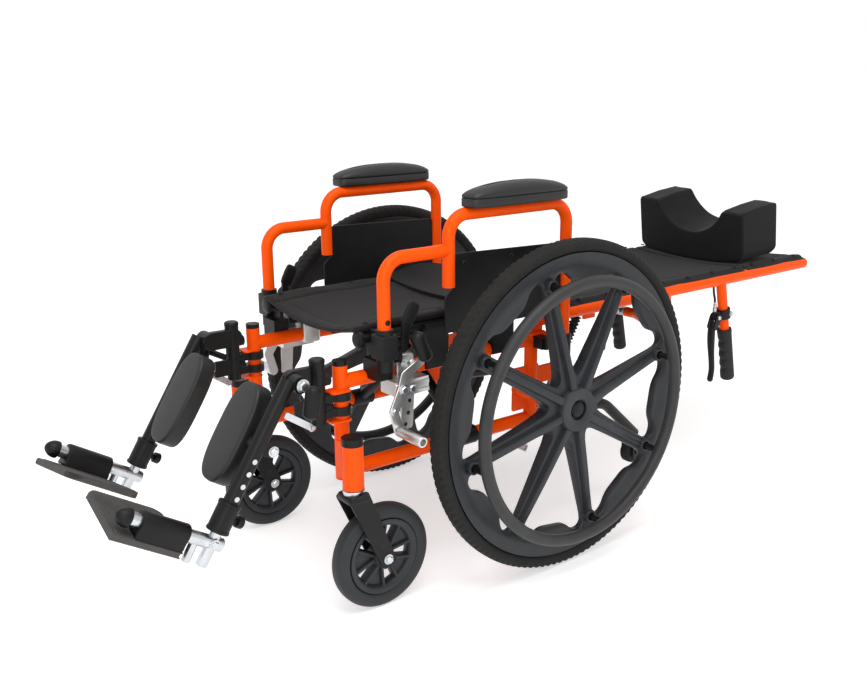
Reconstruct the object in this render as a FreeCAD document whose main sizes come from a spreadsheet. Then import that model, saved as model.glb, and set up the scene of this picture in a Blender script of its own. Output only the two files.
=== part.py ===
import FreeCAD, Part
import math
import os

# Reclining wheelchair, millimetres. +X is the user's left, -Y is forward, +Z is up.
# The origin is on the floor, under the middle of the rear axle.
# Each left-hand piece is built at +X and mirrored for the right-hand side.

doc = FreeCAD.newDocument("reclining_wheelchair")
sheet = doc.addObject("Spreadsheet::Sheet", "Dim")

SIZES = {
    "wheel_dia": 610, "tyre_width": 34, "tyre_depth": 24, "wheel_out": 127.5, "axle_dia": 16,
    "hub_dia": 78, "hub_out": 30, "hub_in": 32, "spoke_width": 34, "spoke_thick": 14,
    "handrim_inset": 69, "handrim_dia": 22, "handrim_out": 49,
    "caster_dia": 186, "caster_out": 46.5, "caster_width": 30, "caster_trail": 50, "stem_ahead": 9.5,
    "housing_dia": 36, "housing_drop": 13, "housing_length": 76, "fork_thick": 4,
    "frame_tube": 25.4, "thin_tube": 22, "frame_x": 153.5, "front_y": -398.5, "rear_y": 27,
    "upper_z": 398, "lower_z": 242, "post_rise": 30,
    "rail_inset": 5.5, "rail_rise": 66, "seat_front": -362, "seat_back": 4, "seat_sag": 22,
    "seat_thick": 8, "brace_y": -150,
    "pivot_y": 45, "pivot_rise": 32, "cane_out": 10.5, "cane_rise": 10, "cane_end": 900,
    "handle_y": 586, "handle_drop": 231, "handle_lean": 49, "grip_dia": 33, "grip_length": 128,
    "lever_pin_dia": 6,
    "lock_arm": 140, "lock_inset": 29.5, "lock_rod_dia": 10, "lock_rod_length": 304, "lock_shell_dia": 30,
    "boot_dia": 22, "cable_dia": 5, "spreader_y": 450, "spreader_sweep": 46, "spreader_drop": 80,
    "arm_out": 42.5, "arm_back": 60.5, "arm_step": 133, "arm_rear_y": 69,
    "arm_step_rise": 203, "arm_top_rise": 58, "arm_socket_rise": 88, "arm_bend": 38,
    "pad_out": 9, "pad_length": 220, "pad_width": 50, "pad_height": 44, "pad_back": 32,
    "guard_thick": 4, "guard_rise": 60, "guard_height": 130,
    "brake_y": -300, "brake_drop": 24, "brake_grip_out": 24,
    "roller_dia": 19, "roller_gap": 15.8, "roller_drop": 15,
    "tip_wheel_dia": 50, "tip_wheel_y": 326, "tip_wheel_z": 98, "tip_bolt_dia": 8,
    "leg_post_ahead": 43, "leg_post_drop": 62, "leg_post_rise": 42, "leg_pivot_ahead": 44.5,
    "leg_pivot_rise": 19, "leg_out": 13.5, "leg_angle": 32.3, "leg_length": 254,
    "foot_tube_dia": 19, "foot_drop": 21, "foot_reach": 152, "dome_dia": 30,
    "plate_width": 118, "plate_length": 132, "plate_start": 25, "plate_thick": 9, "plate_tilt": 9,
    "plate_below": 30, "sleeve_start": 40, "sleeve_length": 79, "stub_dia": 14, "stub_ahead": 29,
    "calf_inset": 59, "calf_width": 92, "calf_length": 172, "calf_thick": 34, "calf_drop": 112,
    "back_front": 112, "back_split": 668, "sling_over": 3, "sling_thick": 7, "back_sag": 12,
    "pillow_half": 150, "pillow_front": 690, "pillow_back": 832, "pillow_high": 119, "pillow_dip": 50,
    "running_gap": 0.05, "soft_gap": 0.4,
}
for row, (alias, number) in enumerate(SIZES.items(), start=1):
    sheet.set(f"A{row}", alias)
    sheet.set(f"B{row}", str(number))
    sheet.setAlias(f"B{row}", alias)
doc.recompute()

V = FreeCAD.Vector
X_AXIS = V(1, 0, 0)
Z_AXIS = V(0, 0, 1)


def size(alias):
    """A driving dimension, read back from the sheet."""
    return float(sheet.get(alias))


def bind(item, prop, text):
    """Tie a property to the sheet: every word of text that is an alias becomes a cell."""
    words = [f"Dim.{w}" if w in SIZES else w for w in text.split()]
    item.setExpression(prop, " ".join(words))


def turn_to(direction):
    return FreeCAD.Rotation(Z_AXIS, direction)


def rod(name, start, end, dia):
    """A round bar from one point to another; dia is a formula on the sheet."""
    item = doc.addObject("Part::Cylinder", name)
    bind(item, "Radius", f"( {dia} ) / 2")
    start, end = V(*start), V(*end)
    item.Height = (end - start).Length
    item.Placement = FreeCAD.Placement(start, turn_to(end - start))
    return item


def block(name, centre, dims, tilt=0.0):
    """A box about its centre, tilted by degrees about X."""
    item = doc.addObject("Part::Box", name)
    item.Length, item.Width, item.Height = dims
    rotation = FreeCAD.Rotation(X_AXIS, tilt)
    corner = V(*centre) - rotation.multVec(V(*dims) / 2)
    item.Placement = FreeCAD.Placement(corner, rotation)
    return item


def fuse(name, items):
    """Weld pieces one after another into one solid."""
    welded = items[0]
    for step, piece in enumerate(items[1:], start=1):
        item = doc.addObject("Part::Fuse", f"{name}_{step}" if step < len(items) - 1 else name)
        item.Base = welded
        item.Tool = piece
        welded = item
    return welded


def cut(name, base, tools):
    item = doc.addObject("Part::Cut", name)
    item.Base = base
    item.Tool = tools[0] if len(tools) == 1 else fuse(name + "_tools", tools)
    return item


def group(name, items):
    item = doc.addObject("Part::Compound", name)
    item.Links = items
    return item


def mirrored(name, source):
    item = doc.addObject("Part::Mirroring", name)
    item.Source = source
    item.Normal = X_AXIS
    return item


def round_path(points, radius):
    """Straight runs joined by tangent arcs of one radius."""
    points = [V(*p) for p in points]
    edges, last = [], points[0]
    for before, corner, after in zip(points, points[1:], points[2:]):
        a = (before - corner).normalize()
        b = (after - corner).normalize()
        half = a.getAngle(b) / 2
        reach = radius / math.tan(half)
        start, end = corner + a * reach, corner + b * reach
        middle_way = (a + b).normalize()
        middle = corner + middle_way * (radius / math.sin(half) - radius)
        edges += [Part.LineSegment(last, start).toShape(), Part.Arc(start, middle, end).toShape()]
        last = end
    edges.append(Part.LineSegment(last, points[-1]).toShape())
    return Part.Wire(edges)


def bent(name, points, dia, radius):
    """A bent round tube, swept along runs and arcs."""
    path = doc.addObject("Part::Feature", name + "_path")
    path.Shape = round_path(points, radius)
    section = doc.addObject("Part::Circle", name + "_section")
    bind(section, "Radius", f"( {dia} ) / 2")
    section.Placement = FreeCAD.Placement(V(*points[0]), turn_to(V(*points[1]) - V(*points[0])))
    item = doc.addObject("Part::Sweep", name)
    item.Sections = [section]
    item.Spine = (path, [f"Edge{n + 1}" for n in range(len(path.Shape.Edges))])
    item.Solid = True
    return item


def turned(name, outline, centre):
    """A ring turned about an axle along X: outline points are (across, radius)."""
    points = [V(centre[0] + a, centre[1], centre[2] + r) for a, r in outline]
    face = doc.addObject("Part::Feature", name + "_outline")
    face.Shape = Part.Face(Part.makePolygon(points + points[:1]))
    item = doc.addObject("Part::Revolution", name)
    item.Source = face
    item.Axis = X_AXIS
    item.Base = V(*centre)
    item.Angle = 360
    item.Solid = True
    return item


def loft(name, sections):
    """A soft form lofted through closed wires."""
    item = doc.addObject("Part::Feature", name)
    item.Shape = Part.makeLoft(sections, True, True)
    return item


nodes = {}


def keep(name, item):
    item.Label = name
    nodes[name] = item
    return item


def keep_pair(name, item):
    keep(name + "_left", item)
    keep(name + "_right", mirrored(name + "_mirror", item))


def keep_both(name, items):
    """Left pieces and their mirror images, as separate solids of one node."""
    left = group(name + "_half", items)
    keep(name, group(name + "_all", [left, mirrored(name + "_other", left)]))


# Side frame: posts, rails, caster housing, axle bush, recline ear and lock ear, welded together
frame_x, tube = size("frame_x"), size("frame_tube")
upper_z, lower_z = size("upper_z"), size("lower_z")
front_y, rear_y = size("front_y"), size("rear_y")
axle_z = size("wheel_dia") / 2
pivot = (size("pivot_y"), upper_z + size("pivot_rise"))
lock_angle = math.radians(-57)
lock_rest = math.radians(-2)
lock_frame = (pivot[0] + size("lock_arm") * math.cos(lock_angle),
              pivot[1] + size("lock_arm") * math.sin(lock_angle))
lock_cane = (pivot[0] + size("lock_arm") * math.cos(lock_rest),
             pivot[1] + size("lock_arm") * math.sin(lock_rest))
caster_x, stem_y = frame_x + size("caster_out"), front_y - size("stem_ahead")
housing_low = lower_z - size("housing_drop")
housing_high = housing_low + size("housing_length")
front_top = upper_z + size("post_rise")
wheel_x = frame_x + size("wheel_out")
ear = 6.0
CAP_HEIGHT = 8.0
HOUSING_CAP = 13.0
frame_parts = [
    rod("front_post", (frame_x, front_y, housing_low), (frame_x, front_y, front_top), "frame_tube"),
    rod("upper_rail", (frame_x, front_y, upper_z), (frame_x, pivot[0] + 14, upper_z), "frame_tube"),
    rod("lower_rail", (frame_x, front_y, lower_z), (frame_x, rear_y + 30, lower_z), "frame_tube"),
    rod("rear_post", (frame_x, rear_y, lower_z), (frame_x, rear_y, upper_z), "frame_tube"),
    rod("caster_housing", (caster_x, stem_y, housing_low), (caster_x, stem_y, housing_high), "housing_dia"),
    block("housing_gusset",
          ((frame_x + caster_x) / 2, (front_y + stem_y) / 2, (housing_low + housing_high) / 2 + 1),
          (caster_x - frame_x, 16, size("housing_length") - 12)),
    rod("axle_bush", (frame_x - 6, 0, axle_z), (frame_x + 60, 0, axle_z), "axle_dia + 16"),
    block("axle_plate", (frame_x, rear_y / 2, axle_z), (ear, rear_y + 36, 84)),
    block("lock_ear", (frame_x - 8, (rear_y + lock_frame[0]) / 2, lock_frame[1] + 8),
          (ear, lock_frame[0] - rear_y + 24, 34)),
    block("recline_ear", (frame_x - 9.4, pivot[0], (upper_z + pivot[1]) / 2 + 6),
          (ear, 34, pivot[1] - upper_z + 22)),
]
frame_body = fuse("frame_weld", frame_parts)
axle_hole = rod("axle_hole", (frame_x - 30, 0, axle_z), (frame_x + 90, 0, axle_z), "axle_dia")
stem_hole = rod("stem_hole", (caster_x, stem_y, housing_low - 30), (caster_x, stem_y, housing_high - 8),
                "axle_dia + 2 * running_gap")
lock_hole = rod("lock_hole", (frame_x - 40, *lock_frame), (frame_x + 20, *lock_frame),
                "lock_rod_dia + 2 * running_gap")
pivot_hole = rod("pivot_hole", (frame_x - 40, *pivot), (frame_x + 40, *pivot),
                 "lock_rod_dia + 2 * running_gap")
keep_pair("side_frame", cut("frame_bored", frame_body, [axle_hole, stem_hole, lock_hole, pivot_hole]))

keep_both("frame_caps", [
    rod("post_cap", (frame_x, front_y, front_top), (frame_x, front_y, front_top + CAP_HEIGHT), "frame_tube"),
    rod("housing_cap", (caster_x, stem_y, housing_high), (caster_x, stem_y, housing_high + HOUSING_CAP),
        "housing_dia"),
])
keep_both("axles", [
    rod("axle", (frame_x - 14, 0, axle_z), (wheel_x + size("hub_out") - 6, 0, axle_z), "axle_dia"),
])

# Cross brace: two bars crossing side by side, each with a collar on one lower rail and the other seat rail
brace_y = size("brace_y")
rail_x, rail_z = frame_x - size("rail_inset"), upper_z + size("rail_rise")
COLLAR_LENGTH = 46.0
BAR_GAP = 1.0
for side, label in ((1, "a"), (-1, "b")):
    bar_y = brace_y + side * (size("thin_tube") / 2 + BAR_GAP)
    low = (side * frame_x, bar_y, lower_z)
    high = (-side * rail_x, bar_y, rail_z)
    collar = rod(f"collar_{label}", (low[0], bar_y - COLLAR_LENGTH / 2, lower_z),
                 (low[0], bar_y + COLLAR_LENGTH / 2, lower_z), "frame_tube + 9")
    rail = rod(f"seat_rail_{label}", (high[0], size("seat_front") + 8, rail_z),
               (high[0], size("seat_back") - 8, rail_z), "thin_tube")
    body = fuse(f"brace_weld_{label}", [rod(f"bar_{label}", low, high, "thin_tube"), collar, rail])
    bore = rod(f"collar_bore_{label}", (low[0], bar_y - 60, lower_z), (low[0], bar_y + 60, lower_z),
               "frame_tube + 2 * running_gap")
    keep(f"cross_brace_{label}", cut(f"brace_{label}", body, [bore]))
SADDLE_Y = (-210.0, -58.0)
SADDLE_LENGTH = 48.0
SADDLE_WIDTH = 36.0
saddles = []
for n, saddle_y in enumerate(SADDLE_Y):
    seat = block(f"saddle_{n}", (frame_x, saddle_y, (upper_z + rail_z) / 2),
                 (SADDLE_WIDTH, SADDLE_LENGTH, rail_z - upper_z + 12))
    ends = (saddle_y - SADDLE_LENGTH, saddle_y + SADDLE_LENGTH)
    rail_groove = rod(f"saddle_rail_{n}", (frame_x, ends[0], upper_z), (frame_x, ends[1], upper_z),
                      "frame_tube")
    seat_groove = rod(f"saddle_seat_{n}", (rail_x, ends[0], rail_z), (rail_x, ends[1], rail_z), "thin_tube")
    saddles.append(cut(f"saddle_cut_{n}", seat, [rail_groove, seat_groove]))
keep_both("seat_saddles", saddles)


def sling_section(y, half, top, thick, sag):
    """Closed outline across the sling: an arc sagging in the middle, of even thickness."""
    def arc(z):
        return Part.Arc(V(-half, y, z), V(0, y, z - sag), V(half, y, z)).toShape()
    upper, lower = arc(top), arc(top - thick)
    ends = [Part.LineSegment(V(s * half, y, top), V(s * half, y, top - thick)).toShape() for s in (1, -1)]
    return Part.Wire([upper, ends[0], lower, ends[1]])


SAG_ROOM = 1.2
seat_top = rail_z + size("thin_tube") / 2 + size("seat_thick") + size("soft_gap") + SAG_ROOM
keep("seat_sling", loft("seat_cloth", [
    sling_section(y, rail_x + 3, seat_top, size("seat_thick"), sag)
    for y, sag in ((size("seat_front"), size("seat_sag")), (size("brace_y"), size("seat_sag") * 0.8),
                   (size("seat_back"), size("seat_sag")))]))

# Rear wheels: moulded spokes, tyre, hand ring on stand-offs
wheel_r = size("wheel_dia") / 2
rim_out = wheel_r - size("tyre_depth")
RIM_DEEP = 36.0
SPOKES = 8
SPOKE_TURN = 14.0
SPOKE_ROOT = 20.0
centre = (wheel_x, 0, axle_z)
half_tyre = size("tyre_width") / 2
keep_pair("tyre", turned("tyre_ring", [
    (-half_tyre + 4, rim_out), (half_tyre - 4, rim_out), (half_tyre, wheel_r - 14),
    (half_tyre - 6, wheel_r - 4), (8, wheel_r), (-8, wheel_r), (-half_tyre + 6, wheel_r - 4),
    (-half_tyre, wheel_r - 14)], centre))
rim = turned("rim_ring", [
    (-half_tyre + 4, rim_out), (-half_tyre + 4, rim_out - 8), (-8, rim_out - RIM_DEEP),
    (8, rim_out - RIM_DEEP), (half_tyre - 4, rim_out - 8), (half_tyre - 4, rim_out)], centre)
spoke_length = rim_out - RIM_DEEP / 2
wheel_parts = [rim, rod("hub", (wheel_x - size("hub_in"), 0, axle_z), (wheel_x + size("hub_out"), 0, axle_z),
                        "hub_dia")]
ring_x = wheel_x + size("handrim_out")
ring_r = wheel_r - size("handrim_inset")
handrim = doc.addObject("Part::Torus", "hand_ring")
bind(handrim, "Radius1", "wheel_dia / 2 - handrim_inset")
bind(handrim, "Radius2", "handrim_dia / 2")
handrim.Placement = FreeCAD.Placement(V(ring_x, 0, axle_z), FreeCAD.Rotation(V(0, 1, 0), 90))
ring_parts = [handrim]
for n in range(SPOKES):
    angle = SPOKE_TURN + n * 360 / SPOKES
    spoke = doc.addObject("Part::Box", f"spoke_{n}")
    bind(spoke, "Length", "spoke_thick")
    bind(spoke, "Width", "spoke_width")
    spoke.Height = spoke_length - SPOKE_ROOT
    way = FreeCAD.Rotation(X_AXIS, angle)
    root = way.multVec(V(-size("spoke_thick") / 2, -size("spoke_width") / 2, SPOKE_ROOT))
    spoke.Placement = FreeCAD.Placement(V(wheel_x, 0, axle_z) + root, way)
    wheel_parts.append(spoke)
    stand = V(0, 0, axle_z) + way.multVec(V(0, 0, ring_r))
    ring_parts.append(rod(f"stand_{n}", (wheel_x + size("spoke_thick") / 2, stand.y, stand.z),
                          (ring_x, stand.y, stand.z), "axle_dia - 4"))
wheel_bore = rod("wheel_bore", (wheel_x - 60, 0, axle_z), (wheel_x + 60, 0, axle_z),
                 "axle_dia + 2 * running_gap")
keep_pair("rear_wheel", cut("wheel_bored", fuse("wheel_moulding", wheel_parts), [wheel_bore]))
keep_pair("handrim", fuse("handrim_weld", ring_parts))

# Casters: stemmed fork, wheel with tyre on its bolt
caster_r = size("caster_dia") / 2
caster_y = stem_y + size("caster_trail")
fork_gap = size("caster_width") / 2 + 5
crown_z = housing_low - 9
fork_parts = [
    rod("stem", (caster_x, stem_y, crown_z - 4), (caster_x, stem_y, housing_high - 12), "axle_dia"),
    rod("crown", (caster_x, stem_y, crown_z - 6), (caster_x, stem_y, crown_z + 8), "housing_dia"),
    block("fork_top", (caster_x, stem_y, crown_z - 8), (2 * fork_gap + 8, 40, 6)),
    rod("caster_bolt", (caster_x - fork_gap - 10, caster_y, caster_r),
        (caster_x + fork_gap + 10, caster_y, caster_r), "lock_rod_dia"),
]
blade_rise = math.degrees(math.atan2(size("caster_trail"), crown_z - 8 - caster_r))
blade_length = math.hypot(size("caster_trail"), crown_z - 8 - caster_r) + 26
for side in (1, -1):
    fork_parts.append(block(
        f"blade_{side + 1}", (caster_x + side * (fork_gap + size("fork_thick") / 2), (stem_y + caster_y) / 2,
                              (crown_z - 8 + caster_r) / 2 - 3),
        (size("fork_thick"), 34, blade_length), blade_rise))
keep_pair("caster_fork", fuse("fork_weld", fork_parts))
caster_centre = (caster_x, caster_y, caster_r)
half_caster = size("caster_width") / 2
bore_r = size("lock_rod_dia") / 2 + size("running_gap")
core = turned("caster_core", [
    (-half_caster - 2, bore_r), (half_caster + 2, bore_r), (half_caster + 2, 22), (7, 26), (7, 62),
    (half_caster - 3, 66), (half_caster - 3, 70), (-half_caster + 3, 70), (-half_caster + 3, 66), (-7, 62),
    (-7, 26), (-half_caster - 2, 22)], caster_centre)
caster_tyre = turned("caster_tyre", [
    (-half_caster + 3, 70), (half_caster - 3, 70), (half_caster, 80), (8, caster_r), (-8, caster_r),
    (-half_caster, 80)], caster_centre)
keep_pair("caster_wheel", group("caster_set", [core, caster_tyre]))

# Back: canes with head tubes and handle stems, grips, levers, cables, spreader and slings
cane_x, cane_z = frame_x + size("cane_out"), pivot[1] + size("cane_rise")
handle_top = (cane_x, size("handle_y"), cane_z)
handle_end = (cane_x, size("handle_y") + size("handle_lean"), cane_z - size("handle_drop"))
handle_way = (V(*handle_end) - V(*handle_top)).normalize()
spreader_y, spreader_z = size("spreader_y"), cane_z - size("spreader_drop")
spreader_end = spreader_y - size("spreader_sweep")
cane_parts = [
    rod("cane", (cane_x, pivot[0] + 18, cane_z), (cane_x, size("cane_end"), cane_z), "frame_tube"),
    rod("stem_tube", handle_top, handle_end, "thin_tube"),
    block("cane_ear", (cane_x - 8.4, pivot[0] + 16, cane_z - 3), (ear, 66, 30)),
    block("lock_tab", (cane_x - 14, lock_cane[0], (lock_cane[1] + cane_z) / 2 - 2), (ear, 30, 34)),
    block("spreader_tab", (cane_x, spreader_end, (spreader_z + cane_z) / 2),
          (ear, size("thin_tube"), cane_z - spreader_z + size("thin_tube"))),
    rod("recline_bolt", (frame_x - 18, *pivot), (cane_x + 2, *pivot), "lock_rod_dia"),
]
tab_hole = rod("tab_hole", (cane_x - 40, *lock_cane), (cane_x - 12.8, *lock_cane),
               "lock_rod_dia + 2 * running_gap")
keep_pair("back_cane", cut("cane_bored", fuse("cane_weld", cane_parts), [tab_hole]))
grip_start = V(*handle_end) - handle_way * (size("grip_length") - 10)
grip_tip = V(*handle_end) + handle_way * 10
grip_solid = rod("grip_solid", tuple(grip_start), tuple(grip_tip), "grip_dia")
grip_bore = rod("grip_bore", tuple(grip_start - handle_way * 20), handle_end, "thin_tube")
keep_both("push_grips", [cut("grip", grip_solid, [grip_bore])])
LEVER_DROP = 80.0
BAND_HALF = 11.0
clamp_at = V(*handle_top) + handle_way * LEVER_DROP
lever_pin = (clamp_at.y - 26, clamp_at.z - 6)
clamp = fuse("clamp_weld", [
    rod("clamp_band", tuple(clamp_at - handle_way * BAND_HALF), tuple(clamp_at + handle_way * BAND_HALF),
        "thin_tube + 10"),
    block("clamp_lug", (cane_x, clamp_at.y - 20, clamp_at.z - 3), (10, 26, 18))])
lever_bore = rod("lever_bore", (cane_x - 20, *lever_pin), (cane_x + 20, *lever_pin),
                 "lever_pin_dia + 2 * running_gap")
clamp_bore = rod("clamp_bore", tuple(clamp_at - handle_way * 20), tuple(clamp_at + handle_way * 20),
                 "thin_tube")
keep_both("lever_clamps", [cut("clamp_cut", clamp, [clamp_bore, lever_bore])])
lever_tip = (lever_pin[0] + 2, handle_end[2] + 2)
lever = fuse("lever_weld", [
    rod("lever_bar", (cane_x, lever_pin[0] - 9, lever_pin[1] - 14), (cane_x, *lever_tip), "lock_rod_dia"),
    block("lever_cheek_out", (cane_x + 8, lever_pin[0] - 6, lever_pin[1] - 8), (5.4, 18, 30)),
    block("lever_cheek_in", (cane_x - 8, lever_pin[0] - 6, lever_pin[1] - 8), (5.4, 18, 30)),
    rod("lever_hinge", (cane_x - 10, *lever_pin), (cane_x + 10, *lever_pin), "lever_pin_dia"),
    block("lever_bridge", (cane_x, lever_pin[0] - 9, lever_pin[1] - 19), (18, 12, 8)),
])
keep_pair("hand_lever", lever)
cable_x = cane_x - size("frame_tube") / 2 - size("cable_dia") / 2 - 0.5
CABLE_RISE = 14.0
keep_both("recline_cables", [bent("cable", [
    (cable_x, clamp_at.y - 8, clamp_at.z + CABLE_RISE), (cable_x, clamp_at.y - 8, cane_z - 2),
    (cable_x, lock_cane[0] + 22, cane_z - 2)], "cable_dia", 20)])
JOINT_GAP = 0.4
HINGE_HALF = 14.0
SPREADER_RUN = 28.0
keep_both("spreader_bar", [bent("spreader_half", [
    (HINGE_HALF, spreader_y, spreader_z), (HINGE_HALF + SPREADER_RUN, spreader_y, spreader_z),
    (cane_x - SPREADER_RUN, spreader_end, spreader_z), (cane_x - ear / 2, spreader_end, spreader_z)],
    "thin_tube", 30)])
keep("spreader_hinge", fuse("hinge_weld", [
    block("hinge_plate", (0, spreader_y, spreader_z), (2 * (HINGE_HALF - JOINT_GAP), 8, 20)),
    rod("hinge_bolt", (0, spreader_y - HINGE_HALF, spreader_z), (0, spreader_y + HINGE_HALF, spreader_z),
        "12")]))
cloth_top = cane_z + size("frame_tube") / 2 + size("sling_thick") + size("soft_gap") + SAG_ROOM / 2
half_sling = cane_x + size("sling_over")
keep("back_sling", loft("back_cloth", [
    sling_section(y, half_sling, cloth_top, size("sling_thick"), size("back_sag"))
    for y in (size("back_front"), spreader_y, size("back_split") - 2)]))
keep("head_sling", loft("head_cloth", [
    sling_section(y, half_sling, cloth_top, size("sling_thick"), size("back_sag"))
    for y in (size("back_split") + 2, size("pillow_back"), size("cane_end") - 6)]))


def pillow_section(x, high):
    """Cross-section of the head pillow: flat base, drawn-in sides and a crowned top."""
    front, back = size("pillow_front"), size("pillow_back")
    base = cloth_top + size("soft_gap") - size("back_sag") * (1 - (x / half_sling) ** 2)
    middle = (front + back) / 2
    low_front, low_back = V(x, front + 10, base), V(x, back - 10, base)
    top_front, top_back = V(x, front + 8, base + high * 0.8), V(x, back - 8, base + high * 0.8)
    return Part.Wire([
        Part.LineSegment(low_front, low_back).toShape(),
        Part.Arc(low_back, V(x, back, base + high * 0.4), top_back).toShape(),
        Part.Arc(top_back, V(x, middle, base + high), top_front).toShape(),
        Part.Arc(top_front, V(x, front, base + high * 0.4), low_front).toShape()])


half_pillow, high, dip = size("pillow_half"), size("pillow_high"), size("pillow_dip")
keep("head_pillow", loft("pillow_form", [
    pillow_section(x * half_pillow, h) for x, h in (
        (-1, high * 0.8), (-0.86, high), (-0.45, high - dip * 0.7), (0, high - dip),
        (0.45, high - dip * 0.7), (0.86, high), (1, high * 0.8))]))

# Recline locks: the rod hangs from the cane and slides through a housing hinged on the frame
lock_x = frame_x - size("lock_inset")
rod_way = (V(lock_x, *lock_frame) - V(lock_x, *lock_cane)).normalize()
rod_top = V(lock_x, *lock_cane)
housing_mid = V(lock_x, *lock_frame)
lock_pin = "lock_rod_dia"
SHELL_HALF = 24.0
BOOT_START, BOOT_END = 14.0, 82.0
housing = fuse("housing_weld", [
    rod("lock_shell", tuple(housing_mid - rod_way * SHELL_HALF), tuple(housing_mid + rod_way * SHELL_HALF),
        "lock_shell_dia"),
    rod("lock_trunnion", (lock_x, *lock_frame), (frame_x - 2, *lock_frame), lock_pin)])
housing_bore = rod("lock_bore", tuple(housing_mid - rod_way * 40), tuple(housing_mid + rod_way * 40),
                   "lock_rod_dia + 2 * running_gap")
keep_pair("lock_housing", cut("housing_bored", housing, [housing_bore]))
keep_pair("lock_rod", fuse("lock_rod_weld", [
    rod("lock_bar", tuple(rod_top), tuple(rod_top + rod_way * size("lock_rod_length")), "lock_rod_dia"),
    rod("lock_boot", tuple(rod_top + rod_way * BOOT_START), tuple(rod_top + rod_way * BOOT_END), "boot_dia"),
    rod("lock_eye", (lock_x - 9, *lock_cane), (lock_x + 9, *lock_cane), "24"),
    rod("lock_hinge_pin", (lock_x, *lock_cane), (cane_x - 13, *lock_cane), lock_pin),
    rod("lock_nut", tuple(rod_top + rod_way * (size("lock_rod_length") - 14)),
        tuple(rod_top + rod_way * size("lock_rod_length")), "18")]))

# Armrests: stepped tube, pad and skirt guard lift out of the front and rear sockets
arm_x = frame_x + size("arm_out")
SOCKET_DEPTH = 54.0
socket_top = upper_z + size("arm_socket_rise")
arm_foot = socket_top - SOCKET_DEPTH
rear_foot = upper_z - 14
step_z = upper_z + size("arm_step_rise")
top_z = step_z + size("arm_top_rise")
arm_front = front_y + size("arm_back")
arm_step, arm_rear = arm_front + size("arm_step"), size("arm_rear_y")
guard_low = upper_z + size("guard_rise")
guard_high = guard_low + size("guard_height")
arm = fuse("arm_weld", [
    bent("arm_lower", [(arm_x, arm_front, arm_foot), (arm_x, arm_front, step_z), (arm_x, arm_step, step_z)],
         "thin_tube", size("arm_bend")),
    bent("arm_upper", [(arm_x, arm_step, step_z - 63), (arm_x, arm_step, top_z),
                       (arm_x, arm_rear, top_z), (arm_x, arm_rear, rear_foot)],
         "thin_tube", size("arm_bend"))])
keep_pair("arm_frame", arm)
arm_top = top_z + size("thin_tube") / 2
PAD_SHOULDER = 6.0


def pad_section(y, width, rise):
    """Arm pad across: flat base, rounded shoulders and a crowned top."""
    mid, low = arm_x + size("pad_out"), arm_top
    crown = low + rise
    left, right = V(mid - width / 2, y, low), V(mid + width / 2, y, low)
    shoulder = low + rise * 0.85
    left_top, right_top = V(left.x + PAD_SHOULDER, y, shoulder), V(right.x - PAD_SHOULDER, y, shoulder)
    left_side, right_side = V(left.x - 1.5, y, low + rise * 0.4), V(right.x + 1.5, y, low + rise * 0.4)
    return Part.Wire([
        Part.LineSegment(left, right).toShape(),
        Part.Arc(right, right_side, right_top).toShape(),
        Part.Arc(right_top, V(mid, y, crown), left_top).toShape(),
        Part.Arc(left_top, left_side, left).toShape()])


pad_y = arm_step + size("pad_back")
pad_end = pad_y + size("pad_length")
pad_rise = size("pad_height") - 5
keep_pair("arm_pad", loft("pad_form", [
    pad_section(y, size("pad_width") * w, pad_rise * w) for y, w in (
        (pad_y, 0.82), (pad_y + 16, 1.0), (pad_end - 16, 1.0), (pad_end, 0.82))]))
guard_edge = size("thin_tube") / 2 + size("soft_gap")
guard_y = (arm_step + guard_edge, arm_rear - guard_edge)
keep_pair("skirt_guard", block("guard_panel", (arm_x, sum(guard_y) / 2, (guard_low + guard_high) / 2),
                               (size("guard_thick"), guard_y[1] - guard_y[0], guard_high - guard_low)))
socket_fit = "thin_tube + 4 * running_gap"
front_socket = fuse("front_socket_weld", [
    rod("front_socket_tube", (arm_x, arm_front, arm_foot - 16), (arm_x, arm_front, socket_top),
        "thin_tube + 8"),
    block("front_socket_clamp", ((arm_x + frame_x) / 2, arm_front, upper_z + 18),
          (arm_x - frame_x, size("thin_tube") + 8, 34))])
rear_socket = fuse("rear_socket_weld", [
    rod("rear_socket_tube", (arm_x, arm_rear, rear_foot - 14), (arm_x, arm_rear, upper_z + 14),
        "thin_tube + 8"),
    block("rear_socket_clamp", ((arm_x + frame_x) / 2, pivot[0] - 12, upper_z - 2),
          (arm_x - frame_x - 14, 22, 22)),
    block("rear_socket_bridge", (arm_x - 8, (arm_rear + pivot[0]) / 2 - 8, upper_z - 2), (14, 46, 22))])
rail_cut = rod("socket_rail_cut", (frame_x, front_y, upper_z), (frame_x, rear_y + 90, upper_z), "frame_tube")
front_bore = rod("front_bore", (arm_x, arm_front, arm_foot), (arm_x, arm_front, step_z), socket_fit)
post_cut = rod("socket_post_cut", (frame_x, rear_y, lower_z), (frame_x, rear_y, upper_z), "frame_tube")
rear_bore = rod("rear_bore", (arm_x, arm_rear, rear_foot), (arm_x, arm_rear, step_z), socket_fit)
keep_both("arm_sockets", [cut("front_socket", front_socket, [rail_cut, front_bore]),
                          cut("rear_socket", rear_socket, [rail_cut, post_cut, rear_bore])])
latch_y = arm_front + 34
LATCH_Z = upper_z + 50
KNOB_Z = LATCH_Z + 22
keep_pair("arm_latch", fuse("latch_weld", [
    rod("latch_pin", (arm_x - 16.7, latch_y, LATCH_Z), (arm_x + 6, latch_y, LATCH_Z), "12"),
    block("latch_paddle", (arm_x - 9, latch_y + 10, LATCH_Z + 34), (10, 18, 76), -16)]))
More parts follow.
